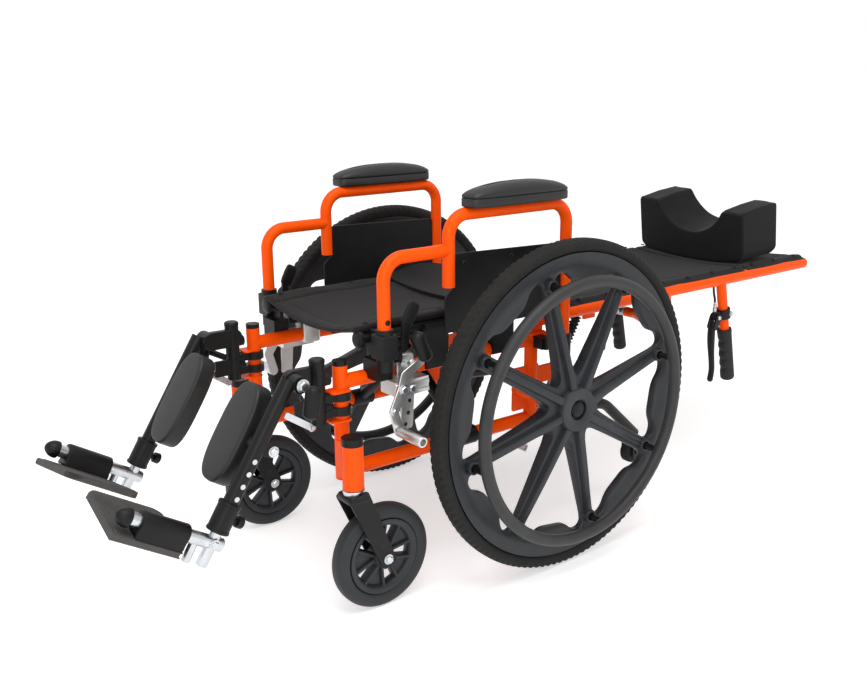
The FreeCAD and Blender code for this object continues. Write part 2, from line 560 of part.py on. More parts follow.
keep_both("latch_knobs", [
    fuse("knob_weld", [
        rod("knob_neck", (arm_x, arm_front - 15.2, KNOB_Z), (arm_x, arm_front - 36, KNOB_Z), "14"),
        rod("knob", (arm_x, arm_front - 34, KNOB_Z), (arm_x, arm_front - 60, KNOB_Z), "28")]),
    block("latch_bracket", (arm_x - 24, latch_y + 4, LATCH_Z - 13.2), (14, 22, 33))])

# Brakes: plate clamped under the upper rail, lever with grip and a roller in front of the tyre
brake_y, brake_z = size("brake_y"), upper_z - size("brake_drop")
plate_x = frame_x + tube / 2 + 5
brake_plate = fuse("brake_plate_weld", [
    block("brake_plate", (plate_x, brake_y + 18, brake_z - 3), (5, 104, 34)),
    block("brake_hanger", (plate_x, brake_y + 18, brake_z - 48), (5, 24, 80)),
    block("brake_clamp", (frame_x + 2, brake_y + 11, upper_z), (34, 50, 40))])
brake_rail = rod("brake_rail_cut", (frame_x, front_y, upper_z), (frame_x, rear_y, upper_z), "frame_tube")
brake_pin_hole = rod("brake_pin_hole", (plate_x - 20, brake_y, brake_z), (plate_x + 20, brake_y, brake_z),
                     "lock_rod_dia + 2 * running_gap")
keep_both("brake_bases", [cut("brake_base", brake_plate, [brake_rail, brake_pin_hole])])
lever_x = plate_x + 6
roller_z = axle_z - size("roller_drop")
roller_reach = wheel_r + size("roller_dia") / 2 + size("roller_gap")
roller_y = -math.sqrt(roller_reach ** 2 - size("roller_drop") ** 2)
grip_x = lever_x + 3 + size("brake_grip_out")
keep_pair("brake_lever", fuse("brake_lever_weld", [
    rod("brake_pin", (plate_x - 4, brake_y, brake_z), (lever_x + 5, brake_y, brake_z), "lock_rod_dia"),
    rod("brake_arm", (lever_x + 3, brake_y, brake_z), (lever_x + 3, roller_y, roller_z), "12"),
    rod("brake_stalk", (lever_x + 3, brake_y, brake_z), (grip_x, brake_y + 41, brake_z + 53), "10"),
    rod("brake_grip", (grip_x, brake_y + 44, brake_z + 48), (grip_x, brake_y + 13, brake_z + 100), "21"),
    rod("brake_roller", (lever_x - 2, roller_y, roller_z), (wheel_x + half_tyre + 1, roller_y, roller_z),
        "roller_dia")]))

# Anti-tippers: bent tubes in the ends of the lower rails, with small wheels
tip_y, tip_z = size("tip_wheel_y"), size("tip_wheel_z")
lower_end = rear_y + 30
keep_both("anti_tippers", [fuse("tipper_weld", [
    bent("tipper_tube", [(frame_x, lower_end + 1.2, lower_z), (frame_x, tip_y - 91, lower_z - 16),
                         (frame_x, tip_y + 8, tip_z + 38)], "thin_tube", 60),
    block("tipper_fork", (frame_x, tip_y + 2, tip_z + 31), (34, 22, 6)),
    block("tipper_cheek_out", (frame_x + 15, tip_y, tip_z + 12), (4, 22, 44)),
    block("tipper_cheek_in", (frame_x - 15, tip_y, tip_z + 12), (4, 22, 44)),
    rod("tipper_bolt", (frame_x - 19, tip_y, tip_z), (frame_x + 19, tip_y, tip_z), "tip_bolt_dia")])])
tip_bore = size("tip_bolt_dia") / 2 + size("running_gap")
keep_pair("tip_wheel", turned("tip_roller", [
    (-10, tip_bore), (10, tip_bore), (10, size("tip_wheel_dia") / 2 - 3), (7, size("tip_wheel_dia") / 2),
    (-7, size("tip_wheel_dia") / 2), (-10, size("tip_wheel_dia") / 2 - 3)], (frame_x, tip_y, tip_z)))

# Legrests: hanger swings on the front post, the leg raises, the foot tube slides, the plate flips
leg_x = frame_x + size("leg_out")
post_y = front_y - size("leg_post_ahead")
leg_pivot = (post_y - size("leg_pivot_ahead"), upper_z + size("leg_pivot_rise"))
lean = math.radians(size("leg_angle"))
leg_way = V(0, -math.sin(lean), -math.cos(lean))
leg_side = V(0, -math.cos(lean), math.sin(lean))
leg_start = V(leg_x, leg_pivot[0] - 14, leg_pivot[1] + 8)


def on_leg(along, ahead=0.0, x=leg_x):
    """A point at a distance along the leg tube, and ahead of it."""
    point = leg_start + leg_way * along + leg_side * ahead
    return (x, point.y, point.z)


hanger_parts = [rod("hanger_post", (frame_x, post_y, upper_z - size("leg_post_drop")),
                    (frame_x, post_y, upper_z + size("leg_post_rise")), "frame_tube")]
COLLAR_DROPS = (46.0, 21.0)
for n, collar_drop in enumerate(COLLAR_DROPS):
    collar_z = upper_z - collar_drop
    hanger_parts += [
        rod(f"hanger_collar_{n}", (frame_x, front_y, collar_z - 8), (frame_x, front_y, collar_z + 6),
            "frame_tube + 10"),
        block(f"hanger_web_{n}", (frame_x, (front_y + post_y) / 2, collar_z - 1),
              (18, front_y - post_y, 14))]
plate_in = frame_x - 6
hanger_parts += [
    block("hanger_plate", (plate_in, (post_y + leg_pivot[0]) / 2 - 4, leg_pivot[1]),
          (5, post_y - leg_pivot[0] + 22, 22)),
    block("ratchet_plate", (plate_in, (post_y + leg_pivot[0]) / 2 + 4, upper_z - 36), (5, 44, 30)),
    rod("leg_bolt", (plate_in - 6, *leg_pivot), (leg_x + 18, *leg_pivot), "lock_rod_dia")]
hanger_bore = rod("hanger_bore", (frame_x, front_y, upper_z - 98), (frame_x, front_y, upper_z - 8),
                  "frame_tube + 2 * running_gap")
keep_pair("leg_hanger", cut("hanger_bored", fuse("hanger_weld", hanger_parts), [hanger_bore]))
leg_length = size("leg_length")
CALF_FULL = 0.93
CALF_EDGE = 9.0
calf_x, calf_drop = leg_x - size("calf_inset"), size("calf_drop")
lug_in = calf_x + size("calf_width") / 2 * CALF_FULL + size("soft_gap")
leg_parts = [
    rod("leg_tube", on_leg(0), on_leg(leg_length - 6), "thin_tube + 4"),
    rod("leg_knuckle", (plate_in + 3.2, *leg_pivot), (leg_x + 14, *leg_pivot), "28"),
    rod("leg_clamp", on_leg(leg_length - 44), on_leg(leg_length), "thin_tube + 14"),
    rod("calf_lug", on_leg(calf_drop), on_leg(calf_drop, 0, lug_in), "thin_tube + 4")]
leg_holes = [
    rod("leg_bore", on_leg(60), on_leg(leg_length + 40), "foot_tube_dia + 2 * running_gap"),
    rod("leg_knuckle_bore", (plate_in - 20, *leg_pivot), (leg_x + 40, *leg_pivot),
        "lock_rod_dia + 2 * running_gap")]
keep_pair("leg_tube", cut("leg_bored", fuse("leg_weld", leg_parts), leg_holes))


def calf_section(along, share):
    """Calf pad across: a slab with rounded edges that narrows towards its ends."""
    half = size("calf_width") / 2 * CALF_FULL * share
    deep = size("calf_thick") / 2
    mid = V(*on_leg(calf_drop + along, 0, calf_x))
    edges, last = [], None
    for right, front in ((1, -1), (1, 1), (-1, 1), (-1, -1)):
        hub = mid + X_AXIS * (right * (half - CALF_EDGE)) + leg_side * (front * (deep - CALF_EDGE))
        side_way, face_way = X_AXIS * (right * CALF_EDGE), leg_side * (front * CALF_EDGE)
        start, end = (hub + face_way, hub + side_way) if right != front else (hub + side_way, hub + face_way)
        bulge = hub + (side_way + face_way) * math.sqrt(0.5)
        if last:
            edges.append(Part.LineSegment(last, start).toShape())
        else:
            first = start
        edges.append(Part.Arc(start, bulge, end).toShape())
        last = end
    edges.append(Part.LineSegment(last, first).toShape())
    return Part.Wire(edges)


half_calf = size("calf_length") / 2
CALF_OUTLINE = [(a, (1 - abs(a) ** 3) ** 0.45) for a in (-0.97, -0.88, -0.7, -0.4, 0, 0.4, 0.7, 0.88, 0.97)]
keep_pair("calf_pad", loft("calf_form", [calf_section(half_calf * a, share) for a, share in CALF_OUTLINE]))
FOOT_TAIL = 39.0
bar_start = V(*on_leg(leg_length + size("foot_drop")))
bar_end = bar_start + leg_side * size("foot_reach")
foot_low = bar_start + leg_way * FOOT_TAIL
stub_top = bar_start + leg_side * size("stub_ahead")
keep_pair("foot_tube", fuse("foot_weld", [
    rod("foot_inner", on_leg(120), tuple(foot_low), "foot_tube_dia"),
    rod("foot_bar", tuple(bar_start - leg_side * 18), tuple(bar_end), "thin_tube"),
    rod("foot_stub", tuple(stub_top), tuple(stub_top + leg_way * FOOT_TAIL), "stub_dia"),
    rod("foot_dome", tuple(bar_end - leg_side * 16), tuple(bar_end + leg_side * 6), "dome_dia")]))
plate_turn = FreeCAD.Rotation(leg_side, -size("plate_tilt"))
plate_way = plate_turn.multiply(FreeCAD.Rotation(X_AXIS, -size("leg_angle")))
SLEEVE_WALL = 6.0
sleeve_half = size("thin_tube") / 2 + SLEEVE_WALL


def on_plate(name, inner, outer, start, length, low, thick):
    """A box in the plate's own axes: across from the bar, along the bar, and up from the bar."""
    item = doc.addObject("Part::Box", name)
    item.Length, item.Width, item.Height = outer - inner, length, thick
    corner = plate_way.multVec(V(inner, 0, low)) + bar_start + leg_side * (start + length)
    item.Placement = FreeCAD.Placement(corner, plate_way)
    return item


plate = on_plate("plate_panel", -size("plate_width"), sleeve_half, size("plate_start"), size("plate_length"),
                 -size("plate_below"), size("plate_thick"))
skirt = on_plate("plate_skirt", -sleeve_half, sleeve_half, size("sleeve_start"), size("sleeve_length"),
                 -size("plate_below"), size("plate_below"))
notch_end = size("stub_ahead") + size("stub_dia") / 2 + 2
notch = on_plate("plate_notch", -size("stub_dia"), sleeve_half + 1, 0, notch_end, -size("plate_below") - 1,
                 size("plate_thick") + 2)
sleeve_low = bar_start + leg_side * size("sleeve_start")
sleeve = rod("plate_sleeve", tuple(sleeve_low), tuple(sleeve_low + leg_side * size("sleeve_length")),
             "thin_tube + 12")
sleeve_bore = rod("sleeve_bore", tuple(bar_start - leg_side * 40), tuple(bar_end + leg_side * 40),
                  "thin_tube + 2 * running_gap")
keep_pair("footplate", cut("plate_bored", fuse("plate_weld", [plate, skirt, sleeve]), [sleeve_bore, notch]))

doc.recompute()
problems = [item.Name for item in doc.Objects if "Invalid" in item.State or "Error" in item.State]
problems += [name for name, item in nodes.items() if item.Shape.isNull() or not item.Shape.isValid()]
if problems:
    raise RuntimeError("these objects failed: " + ", ".join(problems))
os.makedirs("parts", exist_ok=True)
for name, item in nodes.items():
    item.Shape.exportStep(f"parts/{name}.step")
    print(name, len(item.Shape.Solids), "solids", round(item.Shape.Volume / 1000), "cm3")
print(len(nodes), "nodes")
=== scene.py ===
# %% [markdown]
# A reclining wheelchair, built around its packed construction model.
# The construction model gives every tube, pivot and size. This lesson adds what a camera sees:
# moulded wheels, treaded tyres, upholstery, pads, grips, fasteners and the finish of each surface.
# Modelling by hand would also work, but formulas can be read, changed and run again.
# Everything is in metres, with -Y forward, +X to the user's left and +Z up.

# %% Load the frame
import math

import bpy
import numpy as np
from mathutils import Matrix, Vector


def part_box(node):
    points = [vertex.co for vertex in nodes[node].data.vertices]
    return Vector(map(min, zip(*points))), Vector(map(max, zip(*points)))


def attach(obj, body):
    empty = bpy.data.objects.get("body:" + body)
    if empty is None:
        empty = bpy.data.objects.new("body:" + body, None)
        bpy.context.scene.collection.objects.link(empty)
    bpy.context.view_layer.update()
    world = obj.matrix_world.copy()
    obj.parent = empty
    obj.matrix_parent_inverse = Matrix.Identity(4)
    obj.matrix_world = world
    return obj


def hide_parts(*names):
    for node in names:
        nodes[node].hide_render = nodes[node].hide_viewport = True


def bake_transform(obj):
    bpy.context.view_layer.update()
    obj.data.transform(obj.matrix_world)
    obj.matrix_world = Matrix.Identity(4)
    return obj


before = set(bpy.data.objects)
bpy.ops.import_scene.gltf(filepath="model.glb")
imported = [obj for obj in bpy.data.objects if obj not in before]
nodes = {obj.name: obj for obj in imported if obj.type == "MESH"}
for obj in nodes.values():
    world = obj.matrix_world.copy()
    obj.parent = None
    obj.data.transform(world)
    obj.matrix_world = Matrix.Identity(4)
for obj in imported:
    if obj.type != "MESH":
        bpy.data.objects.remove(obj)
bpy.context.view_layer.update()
SIDES = (("left", 1.0), ("right", -1.0))
TAU = 2 * math.pi

# %% [markdown]
# The camera stands where the photograph was taken from. It could be aimed by a tracking constraint,
# but a constraint has no roll. So its turn is given as an azimuth, an elevation and a small roll,
# and the three axes of the camera follow from those angles.

# %% Camera
CAMERA_PLACE = Vector((1.46117, -1.19759, 0.89017))
AZIMUTH, ELEVATION, ROLL = (math.radians(a) for a in (52.81, 15.25, -0.42))
LENS, SENSOR = 40.46, 36

back = Vector((math.sin(AZIMUTH) * math.cos(ELEVATION), -math.cos(AZIMUTH) * math.cos(ELEVATION),
               math.sin(ELEVATION)))
level = Vector((math.cos(AZIMUTH), math.sin(AZIMUTH), 0))
upward = back.cross(level)
right = level * math.cos(ROLL) + upward * math.sin(ROLL)
up = upward * math.cos(ROLL) - level * math.sin(ROLL)
camera = bpy.data.objects.new("camera", bpy.data.cameras.new("camera"))
camera.data.sensor_width = SENSOR
camera.data.sensor_fit = "HORIZONTAL"
camera.data.lens = LENS
turn = Matrix((right, up, back)).transposed()
camera.matrix_world = Matrix.Translation(CAMERA_PLACE) @ turn.to_4x4()
scene = bpy.context.scene
scene.collection.objects.link(camera)
scene.camera = camera
scene.view_settings.view_transform = "Standard"
print("camera at", [round(c, 3) for c in CAMERA_PLACE])

# %% [markdown]
# A white studio: an even sky, one large soft lamp above and a weaker one from the front.
# A curved backdrop would do the same, but it needs much more light to burn out to white. Here the
# camera and mirror rays see plain white, so the background is white by colour. The floor glows
# a little, so it stays white out to the horizon and only greys where the chair takes its light away.

# %% Studio
SKY_LIGHT = 0.64
FLOOR_GLOW = 0.46
FLOOR_HALF = 14.0


def sky():
    """World light: white for camera, mirror and glass rays, a dimmer even light for the rest."""
    world = bpy.data.worlds.new("sky")
    scene.world = world
    world.use_nodes = True
    tree = world.node_tree
    tree.nodes.clear()
    path = tree.nodes.new("ShaderNodeLightPath")
    seen = path.outputs["Is Camera Ray"]
    for ray in ("Is Glossy Ray", "Is Transmission Ray"):
        either = tree.nodes.new("ShaderNodeMath")
        either.operation = "MAXIMUM"
        tree.links.new(seen, either.inputs[0])
        tree.links.new(path.outputs[ray], either.inputs[1])
        seen = either.outputs[0]
    strength = tree.nodes.new("ShaderNodeMapRange")
    strength.inputs["To Min"].default_value = SKY_LIGHT
    strength.inputs["To Max"].default_value = 1.0
    tree.links.new(seen, strength.inputs["Value"])
    light = tree.nodes.new("ShaderNodeBackground")
    light.inputs["Color"].default_value = (1, 1, 1, 1)
    tree.links.new(strength.outputs[0], light.inputs["Strength"])
    out = tree.nodes.new("ShaderNodeOutputWorld")
    tree.links.new(light.outputs[0], out.inputs["Surface"])


def soft_lamp(name, place, aim, width, power):
    """A round area lamp that faces its aim."""
    lamp = bpy.data.objects.new(name, bpy.data.lights.new(name, "AREA"))
    lamp.data.shape = "DISK"
    lamp.data.size = width
    lamp.data.energy = power
    lamp.location = place
    lamp.rotation_euler = (Vector(place) - Vector(aim)).to_track_quat("Z", "Y").to_euler()
    scene.collection.objects.link(lamp)


sky()
soft_lamp("top_lamp", (0.9, -0.6, 3.2), (0, 0.1, 0.3), 2.4, 55)
soft_lamp("front_lamp", (2.6, -2.2, 1.6), (0, 0, 0.35), 1.4, 20)
floor_mesh = bpy.data.meshes.new("floor")
floor_corners = [(x * FLOOR_HALF, y * FLOOR_HALF, 0) for x, y in ((-1, -1), (1, -1), (1, 1), (-1, 1))]
floor_mesh.from_pydata(floor_corners, [], [(0, 1, 2, 3)])
floor = bpy.data.objects.new("floor", floor_mesh)
scene.collection.objects.link(floor)
print("sky", SKY_LIGHT, "floor glow", FLOOR_GLOW)

# %% [markdown]
# Finishes. Powder coat, plastic, rubber, plate and cloth differ in colour, gloss and grain. Pictures
# could give them, but noise has no seams and no fixed scale. So each one is a few nodes on Object
# coordinates: a base colour that drifts a little, a roughness that follows the same noise, and a bump
# at the scale of the real surface.

# %% Material helpers
COAT_ROUGH, GRAIN_HEIGHT = 0.12, 0.0004
WEAVE_HEIGHT, WEAVE_BUMP = 0.0005, 0.5


def finish(name, colour, rough, metal=0.0, drift=0.15, drift_scale=30.0, bump=0.0, bump_scale=900.0,
           coat=0.0, sheen=0.0, rough_drift=0.06, specular=0.2):
    """A procedural finish: noise shifts colour and roughness, finer noise lifts the surface."""
    material = bpy.data.materials.new(name)
    material.use_nodes = True
    tree = material.node_tree
    shader = tree.nodes["Principled BSDF"]
    shader.inputs["Metallic"].default_value = metal
    shader.inputs["Coat Weight"].default_value = coat
    shader.inputs["Coat Roughness"].default_value = COAT_ROUGH
    shader.inputs["Sheen Weight"].default_value = sheen
    shader.inputs["Specular IOR Level"].default_value = specular
    place = tree.nodes.new("ShaderNodeTexCoord")
    noise = tree.nodes.new("ShaderNodeTexNoise")
    noise.inputs["Scale"].default_value = drift_scale
    noise.inputs["Detail"].default_value = 4
    tree.links.new(place.outputs["Object"], noise.inputs["Vector"])
    ramp = tree.nodes.new("ShaderNodeValToRGB")
    ramp.color_ramp.elements[0].position = 0.3
    ramp.color_ramp.elements[1].position = 0.7
    ramp.color_ramp.elements[0].color = (*[c * (1 - drift) for c in colour], 1)
    ramp.color_ramp.elements[1].color = (*[min(1, c * (1 + drift)) for c in colour], 1)
    tree.links.new(noise.outputs["Fac"], ramp.inputs["Fac"])
    tree.links.new(ramp.outputs["Color"], shader.inputs["Base Color"])
    gloss = tree.nodes.new("ShaderNodeMapRange")
    gloss.inputs["To Min"].default_value = max(0.02, rough - rough_drift)
    gloss.inputs["To Max"].default_value = min(1, rough + rough_drift)
    tree.links.new(noise.outputs["Fac"], gloss.inputs["Value"])
    tree.links.new(gloss.outputs[0], shader.inputs["Roughness"])
    if bump:
        grain = tree.nodes.new("ShaderNodeTexNoise")
        grain.inputs["Scale"].default_value = bump_scale
        tree.links.new(place.outputs["Object"], grain.inputs["Vector"])
        lift(tree, shader, grain.outputs["Fac"], bump, GRAIN_HEIGHT)
    return material


def lift(tree, shader, height, strength, distance):
    """Feed a height into the shader's normal through a bump node."""
    relief = tree.nodes.new("ShaderNodeBump")
    relief.inputs["Strength"].default_value = strength
    relief.inputs["Distance"].default_value = distance
    tree.links.new(height, relief.inputs["Height"])
    tree.links.new(relief.outputs["Normal"], shader.inputs["Normal"])


def woven(name, colour, thread, rough=0.85):
    """Coated woven cloth: two crossed sets of threads, each a sine along X or Y, lift the surface."""
    material = finish(name, colour, rough, drift=0.25, drift_scale=18, sheen=0.08, specular=0.15)
    tree = material.node_tree
    shader = tree.nodes["Principled BSDF"]
    place = tree.nodes.new("ShaderNodeTexCoord")
    heights = []
    for direction in ("X", "Y"):
        wave = tree.nodes.new("ShaderNodeTexWave")
        wave.bands_direction = direction
        wave.inputs["Scale"].default_value = 1 / thread / 2
        wave.inputs["Distortion"].default_value = 0.6
        tree.links.new(place.outputs["Object"], wave.inputs["Vector"])
        heights.append(wave.outputs["Fac"])
    cross = tree.nodes.new("ShaderNodeMath")
    cross.operation = "MULTIPLY"
    tree.links.new(heights[0], cross.inputs[0])
    tree.links.new(heights[1], cross.inputs[1])
    lift(tree, shader, cross.outputs[0], WEAVE_BUMP, WEAVE_HEIGHT)
    return material


print("bump heights in mm: grain", GRAIN_HEIGHT * 1000, "weave", WEAVE_HEIGHT * 1000)

# %% [markdown]
# The finishes of this chair. The orange is a smooth powder coat, the black mouldings are a little
# finer and duller, and only bolts, rods and brakes are metal. The floor is part of the studio: its
# paint gives off light, which keeps it white.

# %% Finishes of this chair
ORANGE = finish("orange_powder_coat", (0.95, 0.084, 0.0), 0.34, drift=0.04, bump=0.05, bump_scale=420,
                specular=0.12)
BLACK_COAT = finish("black_powder_coat", (0.008, 0.008, 0.008), 0.36, bump=0.1, bump_scale=900)
BLACK_PLASTIC = finish("black_moulding", (0.007, 0.007, 0.0075), 0.42, bump=0.15, bump_scale=1500)
WHEEL_PLASTIC = finish("wheel_moulding", (0.022, 0.0245, 0.028), 0.44, bump=0.12, bump_scale=1100,
                       specular=0.3)
HANDRIM_PLASTIC = finish("handrim_coating", (0.030, 0.030, 0.030), 0.48, bump=0.1, bump_scale=900,
                         specular=0.3)
TYRE_RUBBER = finish("tyre_rubber", (0.0135, 0.013, 0.0125), 0.72, drift=0.2, bump=0.25, bump_scale=700)
CASTER_RUBBER = finish("caster_rubber", (0.021, 0.023, 0.025), 0.55, bump=0.1, bump_scale=900, specular=0.3)
# Black grip rubber. The same material colours the thin dark discs that stand for holes in plates, and those
# discs are painted shade.
GRIP_RUBBER_AND_HOLE_SHADE = finish("grip_rubber", (0.020, 0.020, 0.020), 0.62, bump=0.2, bump_scale=1400)
ZINC = finish("zinc_plate", (0.56, 0.58, 0.60), 0.29, metal=1.0, drift=0.1, rough_drift=0.1,
              drift_scale=60)
ALUMINIUM = finish("satin_aluminium", (0.62, 0.62, 0.61), 0.36, metal=1.0, drift=0.08, bump=0.08,
                   bump_scale=600)
PAD_SKIN = finish("pad_skin", (0.010, 0.010, 0.0105), 0.44, drift=0.2, bump=0.25, bump_scale=1300,
                  specular=0.4)
PLATE_PLASTIC = finish("footplate_moulding", (0.068, 0.064, 0.061), 0.6, bump=0.2, bump_scale=900)
CLOTH = woven("sling_nylon", (0.0098, 0.0093, 0.0090), 0.0016)
PILLOW_CLOTH = finish("pillow_nylon", (0.0062, 0.0062, 0.0062), 0.8, drift=0.2, bump=0.3, bump_scale=1500,
                      sheen=0.06, specular=0.15)
FLOOR_PAINT = finish("floor_paint", (0.93, 0.93, 0.93), 0.9, drift=0.0, specular=0.0)
floor_shader = FLOOR_PAINT.node_tree.nodes["Principled BSDF"]
floor_shader.inputs["Emission Color"].default_value = (1, 1, 1, 1)
floor_shader.inputs["Emission Strength"].default_value = FLOOR_GLOW
floor.data.materials.append(FLOOR_PAINT)
print("finishes", len(bpy.data.materials))

# %% [markdown]
# Surfaces. A shape is a grid of points: rows run along it and columns run round it. Blender's own
# primitives and modifiers could make many of them, but a grid gives tyres, cloth and grips alike.
# Every helper returns points and faces, and a piece joins several such shapes into one mesh.

# %% Grids and turned shapes


def grid(points, wrap_rows=False, caps=True):
    """Faces of a grid of points [rows, columns, 3]; ends are closed by one flat cap each."""
    rows, columns = points.shape[:2]
    index = np.arange(rows * columns).reshape(rows, columns)
    down = np.roll(index, -1, axis=0) if wrap_rows else index[1:]
    here = index if wrap_rows else index[:-1]
    quads = np.stack([here, np.roll(here, -1, 1), np.roll(down, -1, 1), down], -1)
    faces = quads.reshape(-1, 4).tolist()
    if caps and not wrap_rows:
        faces += [index[0][::-1].tolist(), index[-1].tolist()]
    return outward(points.reshape(-1, 3), faces)


def outward(points, faces):
    """Turn all faces over if the signed volume is negative: sum of a . (b x c) / 6 over triangles."""
    middle = points.mean(axis=0)
    fours = np.array([f for f in faces if len(f) == 4])
    triangles = points[np.concatenate([fours[:, [0, 1, 2]], fours[:, [0, 2, 3]]])] - middle
    volume = np.einsum("ij,ij->i", triangles[:, 0], np.cross(triangles[:, 1], triangles[:, 2])).sum()
    return points, [f[::-1] for f in faces] if volume < 0 else faces


def frame_of(axis):
    """An axis made unit length, and two unit directions square to it."""
    axis = np.asarray(axis, float) / np.linalg.norm(axis)
    first = np.cross(axis, (1.0, 0, 0) if abs(axis[0]) < 0.9 else (0, 1.0, 0))
    first /= np.linalg.norm(first)
    return axis, first, np.cross(axis, first)


def lathe(start, axis, profile, sides=32):
    """Turned shape: profile rows (along, radius) swept round an axis that leaves start."""
    axis, first, second = frame_of(axis)
    profile = np.asarray(profile, float)
    angle = np.linspace(0, TAU, sides, endpoint=False)
    ring = np.cos(angle)[:, None] * first + np.sin(angle)[:, None] * second
    points = np.asarray(start) + profile[:, 0, None, None] * axis + profile[:, 1, None, None] * ring
    return grid(points)


def capsule(start, end, radius, depth=None, sides=28):
    """A round bar with domed ends: at turn a, depth * (1 - cos a) in from the end, radius * sin a."""
    start, end = np.asarray(start, float), np.asarray(end, float)
    length = np.linalg.norm(end - start)
    a = np.linspace(0.06, 1, 8) * math.pi / 2
    dome = np.stack([(depth or radius) * (1 - np.cos(a)), radius * np.sin(a)], -1)
    rows = np.concatenate([dome, np.stack([length - dome[::-1, 0], dome[::-1, 1]], -1)])
    return lathe(start, end - start, rows, sides)


def ring_about_x(centre, section, turns=96):
    """Closed ring about an axle along X: section rows (across, radius) may be [turns, n, 2] to vary."""
    section = np.asarray(section, float)
    if section.ndim == 2:
        section = np.repeat(section[None], turns, 0)
    turns = section.shape[0]
    angle = np.linspace(0, TAU, turns, endpoint=False)[:, None]
    across, radius = section[..., 0], section[..., 1]
    points = np.stack([across, -radius * np.sin(angle), radius * np.cos(angle)], -1)
    return grid(points + np.asarray(centre), wrap_rows=True)


print("turned shapes start square to their axis, at", frame_of((0, 0, 1))[1])

# %% [markdown]
# Curves and outlines. Bent parts follow a smooth line through a few chosen points, and flat parts have
# an outline of a few corners. A spline and a superellipse need fewer numbers than a traced outline.

# %% Curves and outlines


def smooth(points, count, closed=False):
    """Uniform cubic B-spline through the reach of its control points, sampled count times.

    Each span blends four neighbours by (1-t)^3, 3t^3-6t^2+4, -3t^3+3t^2+3t+1 and t^3, all over 6."""
    points = np.asarray(points, float)
    if closed:
        points = np.concatenate([points[-1:], points, points[:2]])
    else:
        points = np.concatenate([2 * points[:1] - points[1:2], points, 2 * points[-1:] - points[-2:-1]])
    spans = len(points) - 3
    place = np.linspace(0, spans, count, endpoint=not closed)
    span = np.minimum(place.astype(int), spans - 1)
    t = (place - span)[:, None]
    blend = [(1 - t) ** 3, 3 * t ** 3 - 6 * t ** 2 + 4, -3 * t ** 3 + 3 * t ** 2 + 3 * t + 1, t ** 3]
    return sum(b * points[span + k] for k, b in enumerate(blend)) / 6


def along(path, outline):
    """A flat outline [m, 2], or one outline per point [n, m, 2], carried along a path of n points.

    The outline's first axis stays square to the path and to X where it can."""
    path = np.asarray(path, float)
    tangent = np.gradient(path, axis=0)
    tangent /= np.linalg.norm(tangent, axis=1, keepdims=True)
    side = np.cross(tangent, np.where(np.abs(tangent[:, :1]) < 0.95, [[1.0, 0, 0]], [[0, 1.0, 0]]))
    side /= np.linalg.norm(side, axis=1, keepdims=True)
    other = np.cross(tangent, side)
    outline = np.asarray(outline, float)
    if outline.ndim == 2:
        outline = np.repeat(outline[None], len(path), 0)
    return grid(path[:, None] + outline[..., :1] * side[:, None] + outline[..., 1:] * other[:, None])


def circle(radius, sides=20):
    """Points (r cos a, r sin a) for equal steps of a."""
    angle = np.linspace(0, TAU, sides, endpoint=False)
    return np.stack([radius * np.cos(angle), radius * np.sin(angle)], -1)


def superellipse(half_a, half_b, power=4.0, sides=40):
    """Rounded rectangle: |x/a|^p + |y/b|^p = 1, by its angle."""
    angle = np.linspace(0, TAU, sides, endpoint=False)
    c, s = np.cos(angle), np.sin(angle)
    return np.stack([half_a * np.sign(c) * np.abs(c) ** (2 / power),
                     half_b * np.sign(s) * np.abs(s) ** (2 / power)], -1)


def rounded(corners, radius, steps=6):
    """A polygon [n, 2] with each corner cut back by radius and turned by a quadratic curve."""
    corners = np.asarray(corners, float)
    before, after = np.roll(corners, 1, 0) - corners, np.roll(corners, -1, 0) - corners
    start = corners + before / np.linalg.norm(before, axis=1, keepdims=True) * radius
    end = corners + after / np.linalg.norm(after, axis=1, keepdims=True) * radius
    t = np.linspace(0, 1, steps)[None, :, None]
    bend = (1 - t) ** 2 * start[:, None] + 2 * t * (1 - t) * corners[:, None] + t ** 2 * end[:, None]
    return bend.reshape(-1, 2)


def inset_by(outline, amount):
    """An outline moved inwards along the mean of its neighbouring edge normals."""
    edge = np.roll(outline, -1, 0) - np.roll(outline, 1, 0)
    normal = np.stack([edge[:, 1], -edge[:, 0]], -1)
    normal /= np.maximum(np.linalg.norm(normal, axis=1, keepdims=True), 1e-9)
    area = np.sum(outline[:, 0] * np.roll(outline[:, 1], -1) - outline[:, 1] * np.roll(outline[:, 0], -1))
    return outline - normal * amount * np.sign(area)


print("an outline with four round corners has", len(rounded([(0, 0), (1, 0), (1, 1), (0, 1)], 0.1)), "points")

# %% [markdown]
# Plates, links and blocks. Brackets are flat plates with eased edges, levers are hulls of two discs,
# and moulded boxes draw in at their ends. A bevel modifier could ease the edges too, but a row of
# the grid does it with no second step.

# %% Plates, links and blocks


def slab(outline, levels, origin, axes):
    """A flat outline raised through levels (height, inset), in axes (first, second, height)."""
    first, second, high = (np.asarray(a, float) for a in axes)
    rows = []
    for height, inset in levels:
        flat = inset_by(np.asarray(outline, float), inset)
        rows.append(np.asarray(origin) + flat[:, :1] * first + flat[:, 1:] * second + height * high)
    return grid(np.stack(rows))


X_WAY, Y_WAY, Z_WAY = np.eye(3)


def plate(outline, x_low, x_high, ease=0.0008):
    """A flat plate in a Y-Z plane, from x_low to x_high, with eased edges."""
    levels = [(x_low, ease), (x_low + ease, 0), (x_high - ease, 0), (x_high, ease)]
    return slab(outline, levels, (0, 0, 0), (Y_WAY, Z_WAY, X_WAY))


